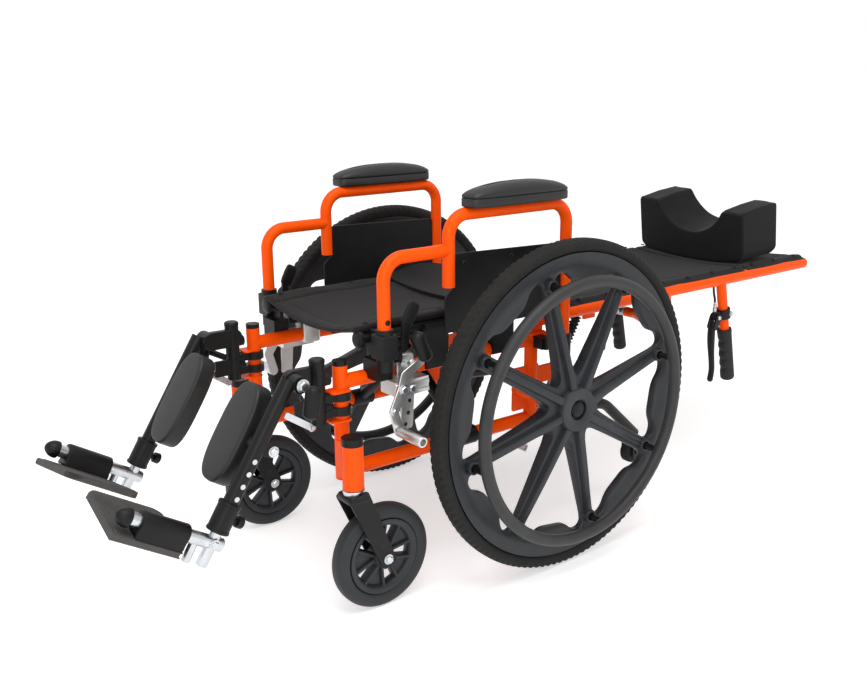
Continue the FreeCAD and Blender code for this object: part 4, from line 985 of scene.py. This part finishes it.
# %% Footplates
BAR = on_leg(0.275)
BAR_REACH = 0.162
FOOT_TAIL = 0.039
PLATE_TILT = math.radians(-9.0)
PLATE_IN, PLATE_OUT, PLATE_START, PLATE_LONG = -0.126, 0.017, 0.032, 0.134
PLATE_LOW, PLATE_TOP = -0.034, -0.021
NOTCH_END, NOTCH_IN = 0.045, -0.014
SLEEVE_START, SLEEVE_LONG, SLEEVE_HALF = 0.047, 0.083, 0.017
RIBS, RIB_HIGH, PLATE_BORDER = 26, 0.0010, 0.006
CORNER_CUT, CORNER_LONG, EASE_DEEP, EASE_WIDE = 0.016, 0.018, 0.002, 0.003


def tilted(way):
    """A direction turned about the foot bar: v cos t + (k x v) sin t, for v square to k."""
    return way * math.cos(PLATE_TILT) + np.cross(LEG_SIDE, way) * math.sin(PLATE_TILT)


PLATE_ACROSS, PLATE_UP = tilted(X_WAY), tilted(-LEG_WAY)


def footplate():
    """Plate in its own axes: u across from the bar, v along the bar and w up.

    The top is a row of ribs: w = top + rib * clip(1.6 cos(2 pi ribs v)) inside a plain border."""
    v = PLATE_START + np.linspace(0, PLATE_LONG, RIBS * 8 + 1)
    t = np.concatenate([[0, 0.012, 0.03], np.linspace(0.05, 0.93, 14), [0.97, 0.99, 1]])[:, None]
    outer = np.where(v < NOTCH_END, NOTCH_IN, PLATE_OUT)
    near_end = np.minimum(v - PLATE_START, PLATE_START + PLATE_LONG - v)
    corner = CORNER_CUT * np.clip(1 - near_end / CORNER_LONG, 0, 1) ** 2
    u = outer[None] + t * (PLATE_IN + corner - outer)[None]
    inside = (near_end > PLATE_BORDER)[None] * (t > 0.04) * (t < 0.96)
    wave = np.clip(1.6 * np.cos(TAU * RIBS * (v - PLATE_START) / PLATE_LONG), -1, 1)
    rib = RIB_HIGH * wave[None] * inside
    edge = np.minimum(near_end[None] + 0 * u, np.minimum(u - u[-1:], u[:1] - u))
    ease = -EASE_DEEP * (1 - np.clip(edge / EASE_WIDE, 0, 1)) ** 2
    top, bottom = PLATE_TOP - RIB_HIGH + rib + ease, PLATE_LOW - ease

    def place(height):
        """The point BAR + u across + v along + height up."""
        return BAR + u[..., None] * PLATE_ACROSS + v[None, :, None] * LEG_SIDE + height[..., None] * PLATE_UP
    return grid(np.concatenate([place(top), place(bottom)[:, ::-1]], 1))


def sleeve():
    """A round-topped sleeve with straight skirts down to the plate, carried along the bar."""
    angle = np.linspace(0, math.pi, 25)
    arch = SLEEVE_HALF * np.stack([np.cos(angle), np.sin(angle)], -1)
    skirts = [(-SLEEVE_HALF, -0.012), (-SLEEVE_HALF, PLATE_TOP), (SLEEVE_HALF, PLATE_TOP),
              (SLEEVE_HALF, -0.012)]
    outline = np.concatenate([arch, skirts])
    eased = [(0, 0.003), (0.001, 0.0008), (0.003, 0)]
    levels = eased + [(SLEEVE_LONG - height, inset) for height, inset in eased[::-1]]
    return slab(outline, levels, BAR + LEG_SIDE * SLEEVE_START, (PLATE_ACROSS, PLATE_UP, LEG_SIDE))


DOME_ROWS = [(-0.016, 0.0148), (-0.012, 0.0150), (-0.008, 0.0145), (-0.003, 0.0125), (0.002, 0.0090),
             (0.005, 0.0050), (0.006, 0.0008)]
TUBE_FROM, BAR_BACK, TAIL_AT = 0.120, 0.018, 0.029
bar_end = BAR + LEG_SIDE * BAR_REACH
tail_stub = BAR + LEG_SIDE * TAIL_AT
TUBE_ROWS = [(0, 0.0095), (0.192, 0.0095), (0.194, 0.0080)]
BAR_ROWS = [(0, 0.0095), (0.001, 0.011), (0.178, 0.011)]
TAIL_ROWS = [(0, 0.007), (FOOT_TAIL - 0.001, 0.007), (FOOT_TAIL, 0.006)]
foot_parts = [(lathe(on_leg(TUBE_FROM), LEG_WAY, TUBE_ROWS, 32), ZINC),
              (lathe(BAR - LEG_SIDE * BAR_BACK, LEG_SIDE, BAR_ROWS, 36), ZINC),
              (lathe(tail_stub, LEG_WAY, TAIL_ROWS, 24), ZINC),
              (lathe(bar_end, LEG_SIDE, DOME_ROWS, 40), BLACK_PLASTIC)]
foot_parts += hex_head(BAR + X_WAY * 0.011, X_WAY, 0.011, 0.005)
pair("foot_bar", foot_parts, "foot", "foot_tube")
plate_parts = [(footplate(), PLATE_PLASTIC), (sleeve(), BLACK_PLASTIC)]
pair("foot_rest", plate_parts, "plate", "footplate")

# %% [markdown]
# Leg fittings: the row of adjusting holes in the leg tube, the lug and bolt of the calf pad, and
# the clamp bands and thumb screw that hold the foot tube. Holes could be cut by booleans, but they are
# small, so a bright disc stands for each hole's rim. The rest are turned shapes on the leg's line.

# %% Leg fittings
LEG_FACE, LUG_IN, LUG_OUT = 0.1795, 0.1650, 0.1690
HOLE_REACHES, BAND_REACHES = (0.136, 0.157, 0.178, 0.199), (0.208, 0.251)
HOLE_ROWS = [(0, 0.0042), (0.0008, 0.0042), (0.0009, 0.002)]
BAND_ROWS = [(0, 0.0178), (0.001, 0.0190), (0.005, 0.0190), (0.006, 0.0178)]
THUMB_ROWS = [(0, 0.0045), (0.010, 0.0045), (0.0105, 0.0095), (0.0200, 0.0100), (0.0215, 0.0085)]
leg_fittings = [(lathe(on_leg(reach, 0, LEG_FACE), X_WAY, HOLE_ROWS, 20), ZINC) for reach in HOLE_REACHES]
calf_lug = link_outline(on_leg(CALF_REACH, -0.006)[1:], 0.013, on_leg(CALF_REACH, -0.029)[1:], 0.011)
leg_fittings.append((plate(calf_lug, LUG_IN, LUG_OUT), BLACK_COAT))
leg_fittings += hex_head(on_leg(CALF_REACH, -0.030, LUG_OUT), X_WAY, 0.012, 0.006)
leg_fittings.append((lathe(on_leg(0.233, -0.014), -LEG_SIDE, THUMB_ROWS, 12), BLACK_PLASTIC))
leg_fittings += [(lathe(on_leg(reach), LEG_WAY, BAND_ROWS, 40), BLACK_PLASTIC) for reach in BAND_REACHES]
pair("leg_fitting", leg_fittings, "leg")

# %% [markdown]
# Hanger fittings: the cap and beam of the hanger's post, the barrels that hang it on the frame, its
# rounded release handle and the end of the ratchet bar. Castings could be sculpted, but plates and
# turned shapes look the same from where a camera stands. The orange tabs that carry the barrels are
# welded to the frame, so they are a piece of their own.

# %% Hanger fittings
POST = np.array((0.1535, -0.4415, 0.440))
POST_CAP_ROWS = [(0, 0.0133), (0.004, 0.0133), (0.0065, 0.0110), (0.0072, 0.004)]
BARREL_ROWS = [(0, 0.0095), (0.012, 0.0102), (0.0205, 0.0102), (0.0215, 0.0090)]
BARREL_HEIGHTS, TAB_HEIGHTS = (0.360, 0.408), (0.3330, 0.3840)
RELEASE_LOW, RELEASE_HIGH = (0.2015, -0.4845, 0.3650), (0.2015, -0.4745, 0.4195)
STALK_START, STALK_END = (0.1600, -0.4470, 0.3740), (0.1880, -0.4760, 0.3880)
LEG_PIVOT, RATCHET_START, RATCHET_PIN = (-0.486, 0.417), (-0.498, 0.361), (-0.454, 0.331)
RATCHET_IN, RATCHET_OUT = 0.1505, 0.1530
hanger_fittings = [(lathe(POST, Z_WAY, POST_CAP_ROWS, 32), BLACK_PLASTIC),
                   (capsule(RELEASE_LOW, RELEASE_HIGH, 0.0135, 0.0105), BLACK_PLASTIC),
                   (capsule(STALK_START, STALK_END, 0.0060), BLACK_COAT)]
for z in BARREL_HEIGHTS:
    hanger_fittings.append((lathe((POST[0], POST[1], z), Y_WAY, BARREL_ROWS, 28), BLACK_PLASTIC))
beam = link_outline(POST[1:] - (0, 0.023), 0.0165, LEG_PIVOT, 0.0170)
hanger_fittings.append((plate(beam, 0.1420, 0.1555, 0.0015), BLACK_COAT))
ratchet = link_outline(RATCHET_START, 0.006, RATCHET_PIN, 0.006)
hanger_fittings.append((plate(ratchet, RATCHET_IN, RATCHET_OUT), ZINC))
hanger_fittings += hex_head((0.1852, *LEG_PIVOT), X_WAY, 0.015, 0.007)
hanger_fittings += hex_head((RATCHET_OUT, *RATCHET_PIN), X_WAY, 0.009, 0.004)
pair("hanger_fitting", hanger_fittings, "hanger")
tab = rounded([(0.1410, -0.424), (0.1715, -0.424), (0.1715, -0.386), (0.1410, -0.386)], 0.009)
tab_levels = [(0, 0.0006), (0.0006, 0), (0.0026, 0), (0.0032, 0.0006)]
tabs = [(slab(tab, tab_levels, (0, 0, z), (X_WAY, Y_WAY, Z_WAY)), ORANGE) for z in TAB_HEIGHTS]
piece("hanger_tabs", both_sides(tabs), "frame")

# %% [markdown]
# Push grips and recline levers. A grip is a rubber sleeve with finger notches on its front only. A lathe
# would cut the notches all round, so each ring of the grip is drawn in just where it faces forward.
# The lever is a flat-oval blade on a gentle curve, held between two cheeks on a clamp.

# %% Grips and levers
HANDLE_X, CANE_Z = 0.164, 0.440
HANDLE_TOP = np.array((HANDLE_X, 0.586, CANE_Z))
HANDLE_END = np.array((HANDLE_X, 0.635, 0.209))
HANDLE_WAY = (HANDLE_END - HANDLE_TOP) / np.linalg.norm(HANDLE_END - HANDLE_TOP)
GRIP_LONG, GRIP_R, GRIP_BORE, GRIP_TAIL = 0.128, 0.0158, 0.0112, 0.010
NOTCHES, NOTCH_DEPTH = 4, 0.0042
CABLE_TIE_Y = 0.566
CLAMP_AT = HANDLE_TOP + HANDLE_WAY * 0.080
LEVER_PIN = CLAMP_AT + np.array((0, -0.026, -0.006))
CHEEK_X, CHEEK_HALF = 0.008, 0.0024
LEVER_TIP_Z = 0.214


def grip():
    """Rings along the handle: radius 16 mm less 4.2 mm notches where the ring faces forward."""
    t = np.concatenate([[0], np.linspace(0, 1, 90)])
    wave = (0.5 - 0.5 * np.cos(TAU * np.clip((t - 0.14) / 0.70, 0, 1) * NOTCHES)) ** 1.5
    end = np.clip((1 - t) / 0.07, 0, 1)
    collar = 0.0007 * np.exp(-((t - 0.05) / 0.03) ** 2)
    radius = (GRIP_R + collar) * np.sqrt(np.clip(1 - (1 - end) ** 2, 0.02, 1))
    radius[0] = GRIP_BORE
    axis, first, second = frame_of(HANDLE_WAY)
    angle = np.linspace(0, TAU, 48, endpoint=False)
    ring = np.cos(angle)[:, None] * first + np.sin(angle)[:, None] * second
    forward = np.clip(-ring[:, 1] - 0.15, 0, 1) / 0.85
    size = radius[:, None] - NOTCH_DEPTH * wave[:, None] * forward[None]
    centre = HANDLE_END + HANDLE_WAY * (GRIP_TAIL - GRIP_LONG) + (t * GRIP_LONG)[:, None] * axis
    return grid(centre[:, None] + size[..., None] * ring[None])


def lever_parts():
    """A blade that widens below its pivot, bows forward and ends in a ball, between two cheeks."""
    y, z = LEVER_PIN[1:]
    bow = [(-0.010, z - 0.008), (-0.013, z - 0.030), (-0.010, z - 0.070), (-0.003, z - 0.105),
           (-0.001, z - 0.125), (-0.005, LEVER_TIP_Z)]
    path = smooth([(HANDLE_X, y + ahead, height) for ahead, height in bow], 40)
    swell = 1 + 0.30 * np.exp(-((np.linspace(0, 1, 40) - 0.25) / 0.2) ** 2)
    blade = superellipse(0.0050, 0.0066, 2.8, 22)[None] * swell[:, None, None]
    parts = [(along(path, blade), BLACK_COAT)]
    parts.append((capsule(path[-1] + (0, 0.001, 0.005), path[-1] + (0, -0.001, -0.008), 0.0068), BLACK_COAT))
    cheek = link_outline((y, z), 0.009, (y - 0.009, z - 0.020), 0.007)
    for side in (1, -1):
        x = HANDLE_X + side * CHEEK_X
        parts.append((plate(cheek, x - CHEEK_HALF, x + CHEEK_HALF), BLACK_PLASTIC))
        parts.append((dome_head((x + side * CHEEK_HALF, y, z), (side, 0, 0), 0.005, 0.003), ZINC))
    return parts


piece("handle_grips", both_sides([(grip(), GRIP_RUBBER_AND_HOLE_SHADE)]), "backrest", ["push_grips"], 60)
pair("recline_lever", lever_parts(), "lever", "hand_lever")

# %% [markdown]
# Lever clamps carry a stepped barrel that the cable leaves through, and a small bolt. A tie holds the
# cable to the cane. All are turned shapes. The barrel and bolt are placed from the clamp's middle, so
# they follow it if the handle is moved.

# %% Clamp fittings
ADJUSTER_ROWS = [(0, 0.0050), (0.010, 0.0050), (0.0105, 0.0038), (0.017, 0.0038), (0.0175, 0.0030),
                 (0.022, 0.0030)]
TIE_ROWS = [(0, 0.0112), (0.0005, 0.0118), (0.0035, 0.0118), (0.004, 0.0112)]
ADJUSTER_FOOT = np.array((0.1575, CLAMP_AT[1] - 0.022, CLAMP_AT[2] + 0.004))
ADJUSTER_WAY = np.array((-0.12, 0.10, 1.0))
clamp_fittings = [(lathe(ADJUSTER_FOOT, ADJUSTER_WAY, ADJUSTER_ROWS, 20), ZINC)]
clamp_fittings += hex_head((0.1801, CLAMP_AT[1] + 0.006, CLAMP_AT[2]), X_WAY, 0.008, 0.004)
clamp_fittings.append((lathe((HANDLE_X, CABLE_TIE_Y, CANE_Z), Y_WAY, TIE_ROWS, 40), BLACK_PLASTIC))
piece("clamp_fittings", both_sides(clamp_fittings), "backrest")

# %% [markdown]
# Recline cables. Each leaves its lever's barrel, bends up to the cane and runs along it to the lock.
# It is a thin, stiff cable held at both ends, so it is a curve with a round bevel. Its points are
# listed along the route.

# %% Recline cables
CABLE, CABLE_X, CABLE_Z = 0.005, 0.1483, 0.4380


def cable(name, s):
    """A poly curve from the lever's barrel up to the tube and along it; its own line is the cable."""
    top = ADJUSTER_FOOT + ADJUSTER_WAY / np.linalg.norm(ADJUSTER_WAY) * 0.020
    knots = [top, top + (-0.002, 0.001, 0.012), (0.1490, 0.5830, 0.4080), (CABLE_X, 0.5830, 0.4330),
             (CABLE_X, 0.5660, 0.4385), (CABLE_X, 0.5300, CABLE_Z), (CABLE_X, 0.4000, CABLE_Z),
             (CABLE_X, 0.2300, CABLE_Z), (CABLE_X, 0.2080, CABLE_Z)]
    path = smooth(knots, 90) * (s, 1, 1)
    line = bpy.data.curves.new(name, "CURVE")
    line.dimensions = "3D"
    line.bevel_depth = CABLE / 2
    line.bevel_resolution = 4
    line.use_fill_caps = True
    strand = line.splines.new("POLY")
    strand.points.add(len(path) - 1)
    strand.points.foreach_set("co", np.concatenate([path, np.ones((len(path), 1))], 1).ravel())
    line.materials.append(GRIP_RUBBER_AND_HOLE_SHADE)
    item = bpy.data.objects.new(name, line)
    scene.collection.objects.link(item)
    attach(item, "backrest")
    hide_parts("recline_cables")


for side, s in SIDES:
    cable(f"recline_cable_{side}", s)

# %% [markdown]
# Recline locks: a plated rod that slides through its housing, with a ribbed rubber boot below its eye.
# Rod, boot and nut are turned about the line from the cane's pivot to the frame's, and the eye and its
# pin about X. A screw modifier could turn them too, but rows of radii are shorter. The boot's ribs are
# a cosine along it.

# %% Recline locks
LOCK_X = 0.124
LOCK_FRAME, LOCK_CANE = np.array((0.12125, 0.31259)), np.array((0.18491, 0.42511))
ROD_LONG, ROD_R, NUT_AT, PIN_LONG = 0.304, 0.005, 0.290, 0.027
BOOT_START, BOOT_LONG, BOOT_R, BOOT_RIB, BOOT_RIBS = 0.014, 0.068, 0.0092, 0.0018, 9
EYE_ROWS = [(0, 0.0112), (0.001, 0.012), (0.017, 0.012), (0.018, 0.0112)]
NUT_ROWS = [(0, 0.0085), (0.0125, 0.0085), (0.014, 0.007)]
rod_way = np.array((0, *(LOCK_FRAME - LOCK_CANE))) / np.linalg.norm(LOCK_FRAME - LOCK_CANE)
rod_top = np.array((LOCK_X, *LOCK_CANE))
folds = np.linspace(0, 1, 57)
boot = np.stack([BOOT_START + BOOT_LONG * folds, BOOT_R + BOOT_RIB * np.cos(folds * TAU * BOOT_RIBS)], -1)
lock_parts = [(lathe(rod_top, rod_way, [(0, ROD_R), (ROD_LONG, ROD_R)], 24), ZINC),
              (lathe(rod_top, rod_way, boot, 32), GRIP_RUBBER_AND_HOLE_SHADE),
              (lathe(rod_top - X_WAY * EYE_ROWS[-1][0] / 2, X_WAY, EYE_ROWS, 32), ZINC),
              (lathe(rod_top, X_WAY, [(0, ROD_R), (PIN_LONG, ROD_R)], 20), ZINC),
              (lathe(rod_top + rod_way * NUT_AT, rod_way, NUT_ROWS, 6), ZINC)]
pair("lock_slide", lock_parts, "rod", "lock_rod")

# %% [markdown]
# Brakes: a ribbed silver block and a holed hanger plate are clamped beside the upper rail. The flat
# lever outside them turns on its bolt, carries the hollow roller ahead of the tyre and ends in a grip.
# The real lever is stamped from sheet. It could be one traced outline, but plates that are hulls of
# two discs, end to end, need only the places of the pins and their radii.

# %% Brakes
BRAKE = np.array((-0.316, 0.384))
ELBOW, ROLLER = np.array((-0.336, 0.350)), np.array((-0.3262, 0.3140))
KINK, ARM_TOP = np.array((-0.3125, 0.4080)), np.array((-0.2800, 0.4265))
BLOCK_X, BLOCK_Y, BLOCK_Z, BLOCK_LONG = 0.1675, -0.328, 0.384, 0.068
BLOCK_FACE, BLOCK_GROOVE, BLOCK_HALF, BLOCK_EASE = 0.0455, 0.0440, 0.0130, 0.0006
HANGER_X, HANGER_HALF = 0.2050, 0.0020
HANGER_HOLES = ((-0.297, 0.359), (-0.300, 0.338), (-0.306, 0.319))
# Rows of the thin dark disc that stands for each hanger hole: painted shade.
HANGER_HOLE_SHADE_ROWS = [(0, 0.0036), (0.0004, 0.0036), (0.0005, 0.001)]
LEVER_X, LEVER_FACE = 0.2165, 0.2187
GRIP_X = 0.2235
CLAMP = np.array((0.1555, -0.279, 0.405))
CLAMP_HALF, CLAMP_BOLTS = (0.0170, 0.0190, 0.0240), 0.010
ROLLER_ROWS = [(0, 0.0060), (0, 0.0085), (0.001, 0.0092), (0.0625, 0.0092), (0.0635, 0.0085),
               (0.0635, 0.0060), (0.0500, 0.0058)]


def base_parts():
    """Ribbed block along Y, hanger plate with three holes of painted shade, and a clamp with its bolts on the
    rail.
    """
    rib = [(BLOCK_FACE, -BLOCK_HALF), (BLOCK_FACE, -0.0065), (BLOCK_GROOVE, -0.0055), (BLOCK_GROOVE, 0.0005),
           (BLOCK_FACE, 0.0015), (BLOCK_FACE, 0.0075), (BLOCK_GROOVE, 0.0085), (BLOCK_GROOVE, BLOCK_HALF),
           (0, BLOCK_HALF), (0, -BLOCK_HALF)]
    levels = [(0, BLOCK_EASE), (BLOCK_EASE, 0), (BLOCK_LONG - BLOCK_EASE, 0), (BLOCK_LONG, BLOCK_EASE)]
    parts = [(slab(rib, levels, (BLOCK_X, BLOCK_Y, BLOCK_Z), (X_WAY, Z_WAY, Y_WAY)), ALUMINIUM)]
    hanger = rounded([(-0.313, 0.374), (-0.286, 0.374), (-0.291, 0.310), (-0.315, 0.310)], 0.005)
    parts.append((plate(hanger, HANGER_X - HANGER_HALF, HANGER_X + HANGER_HALF), ALUMINIUM))
    # Each hole is a thin dark disc on the plate's face: painted shade, not a cut.
    for y, z in HANGER_HOLES:
        parts.append((lathe((HANGER_X + 0.0018, y, z), X_WAY, HANGER_HOLE_SHADE_ROWS, 20), GRIP_RUBBER_AND_HOLE_SHADE))
    parts.append((rounded_block(CLAMP, CLAMP_HALF, 9.0), ALUMINIUM))
    for y in (CLAMP[1] - CLAMP_BOLTS, CLAMP[1] + CLAMP_BOLTS):
        parts += hex_head((CLAMP[0] + 0.0168, y, CLAMP[2] + 0.008), X_WAY, 0.010, 0.005)
        parts += hex_head((CLAMP[0], y, CLAMP[2] + 0.0238), Z_WAY, 0.009, 0.004)
    parts += hex_head((BLOCK_X + 0.0450, -0.297, 0.382), X_WAY, 0.011, 0.006)
    return parts


def brake_lever_parts():
    """Cranked flat lever with its bolts, a hollow roller on its foot and a rounded grip on its top.

    Links that overlap differ in thickness, so their faces never share a plane."""
    links = ((BRAKE, 0.0120, ELBOW, 0.0085, 0.0022), (ELBOW, 0.0085, ROLLER, 0.0090, 0.0020),
             (BRAKE, 0.0120, KINK, 0.0090, 0.0021), (KINK, 0.0090, ARM_TOP, 0.0075, 0.0020))
    parts = [(plate(link_outline(a, ra, b, rb), LEVER_X - thick, LEVER_X + thick), ALUMINIUM)
             for a, ra, b, rb, thick in links]
    for place, across in ((BRAKE, 0.012), (ELBOW, 0.009), (ROLLER, 0.009)):
        parts += hex_head((LEVER_FACE, *place), X_WAY, across, 0.004)
    low, high = np.array((GRIP_X, -0.2715, 0.4285)), np.array((GRIP_X, -0.2965, 0.4790))
    parts.append((capsule(low, high, 0.0125, 0.0100), BLACK_PLASTIC))
    parts.append((lathe((LEVER_X + 0.0030, *ROLLER), X_WAY, ROLLER_ROWS, 36), ALUMINIUM))
    return parts


piece("brake_brackets", both_sides(base_parts()), "frame", ["brake_bases"])
pair("brake_handle", brake_lever_parts(), "brake", "brake_lever")

# %% [markdown]
# Arm fittings: moulded socket boxes with a bracket plate and a round knob, the release tongue, and
# a spring button near the foot of each arm tube. The boxes could be carved by booleans, but plates and
# rounded blocks have cleaner faces, and the knob is turned. The tongue is wide above its socket and
# narrow beside it, so it can swing without touching.

# %% Arm fittings
ARM_X, ARM_FRONT, KNOB_X, KNOB_Z = 0.196, -0.338, 0.157, 0.4643
SOCKET_IN, SOCKET_OUT, SOCKET_LOW, SOCKET_HIGH = 0.1785, 0.2130, 0.4365, 0.4780
SOCKET_FRONT, SOCKET_REAR = -0.3540, -0.3215
TONGUE_X, TONGUE_TILT = 0.202, math.radians(-28)
TONGUE_NECK, TONGUE_FOOT, TONGUE_HINGE = (-0.2985, 0.4940), (-0.3030, 0.4500), (0.1793, -0.304, 0.448)
KNOB_ROWS = [(0, 0.0070), (0.0155, 0.0065), (0.0165, 0.0100), (0.0180, 0.0142), (0.0210, 0.0152),
             (0.0245, 0.0148), (0.0265, 0.0125), (0.0275, 0.0080), (0.0278, 0.0010)]
HINGE_ROWS = [(0, 0.0055), (0.0005, 0.006), (0.0222, 0.006), (0.0227, 0.0055)]
socket_outline = rounded([(SOCKET_FRONT, SOCKET_HIGH), (SOCKET_REAR, SOCKET_HIGH), (SOCKET_REAR, SOCKET_LOW),
                          (SOCKET_FRONT, SOCKET_LOW)], 0.003)
socket_box = plate(socket_outline, SOCKET_IN, SOCKET_OUT, 0.002)
bracket = rounded_block((0.1640, ARM_FRONT, 0.4550), (0.0160, 0.0042, 0.0250), 9.0)
knob = lathe((KNOB_X, ARM_FRONT - 0.0031, KNOB_Z), -Y_WAY, KNOB_ROWS, 36)
hinge_block = rounded_block((0.172, -0.300, 0.4348), (0.0070, 0.0110, 0.0165), 8.0)
tongue = rounded_block((TONGUE_X, -0.2900, 0.5060), (0.0045, 0.0120, 0.0205), 5.0, 32, TONGUE_TILT)
neck = plate(link_outline(TONGUE_NECK, 0.0075, TONGUE_FOOT, 0.0065), TONGUE_X - 0.0035, TONGUE_X + 0.0035)
hinge = lathe(TONGUE_HINGE, X_WAY, HINGE_ROWS, 24)


def moulded(*shapes):
    """Shapes that are all black mouldings, as parts of a piece."""
    return [(shape, BLACK_PLASTIC) for shape in shapes]


piece("socket_boxes", both_sides(moulded(socket_box, bracket)), "frame")
piece("release_knobs", both_sides(moulded(knob, hinge_block)), "frame", ["latch_knobs"])
pair("release_tongue", moulded(tongue, neck, hinge), "latch", "arm_latch")
button = dome_head((ARM_X + 0.0105, ARM_FRONT, 0.499), X_WAY, 0.0048, 0.0025)
pair("spring_button", moulded(button), "arm")

# %% [markdown]
# Skirt guards keep clothes off the wheels. Each is a flat black panel that steps forward below the
# arm's front bend, with three screws along its top. A plate with a six-cornered outline is enough.

# %% Skirt guards
GUARD_TOE, TOE_TOP, GUARD_SCREW_IN, GUARD_SCREW_DOWN = 0.020, 0.522, 0.02, 0.012
guard_low, guard_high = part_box("skirt_guard_left")
front, rear, low, high = guard_low.y, guard_high.y, guard_low.z, guard_high.z
guard_outline = rounded([(front, high + 0.006), (rear, high - 0.002), (rear, low), (front - GUARD_TOE, low),
                         (front - GUARD_TOE, TOE_TOP), (front, TOE_TOP + 0.012)], 0.006)
guard_parts = [(plate(guard_outline, guard_low.x, guard_high.x, 0.0010), BLACK_PLASTIC)]
for y in (front + GUARD_SCREW_IN, (front + rear) / 2, rear - GUARD_SCREW_IN):
    screw = dome_head((guard_high.x, y, high - GUARD_SCREW_DOWN), X_WAY, 0.005, 0.003)
    guard_parts.append((screw, BLACK_COAT))
pair("side_panel", guard_parts, "arm", "skirt_guard")
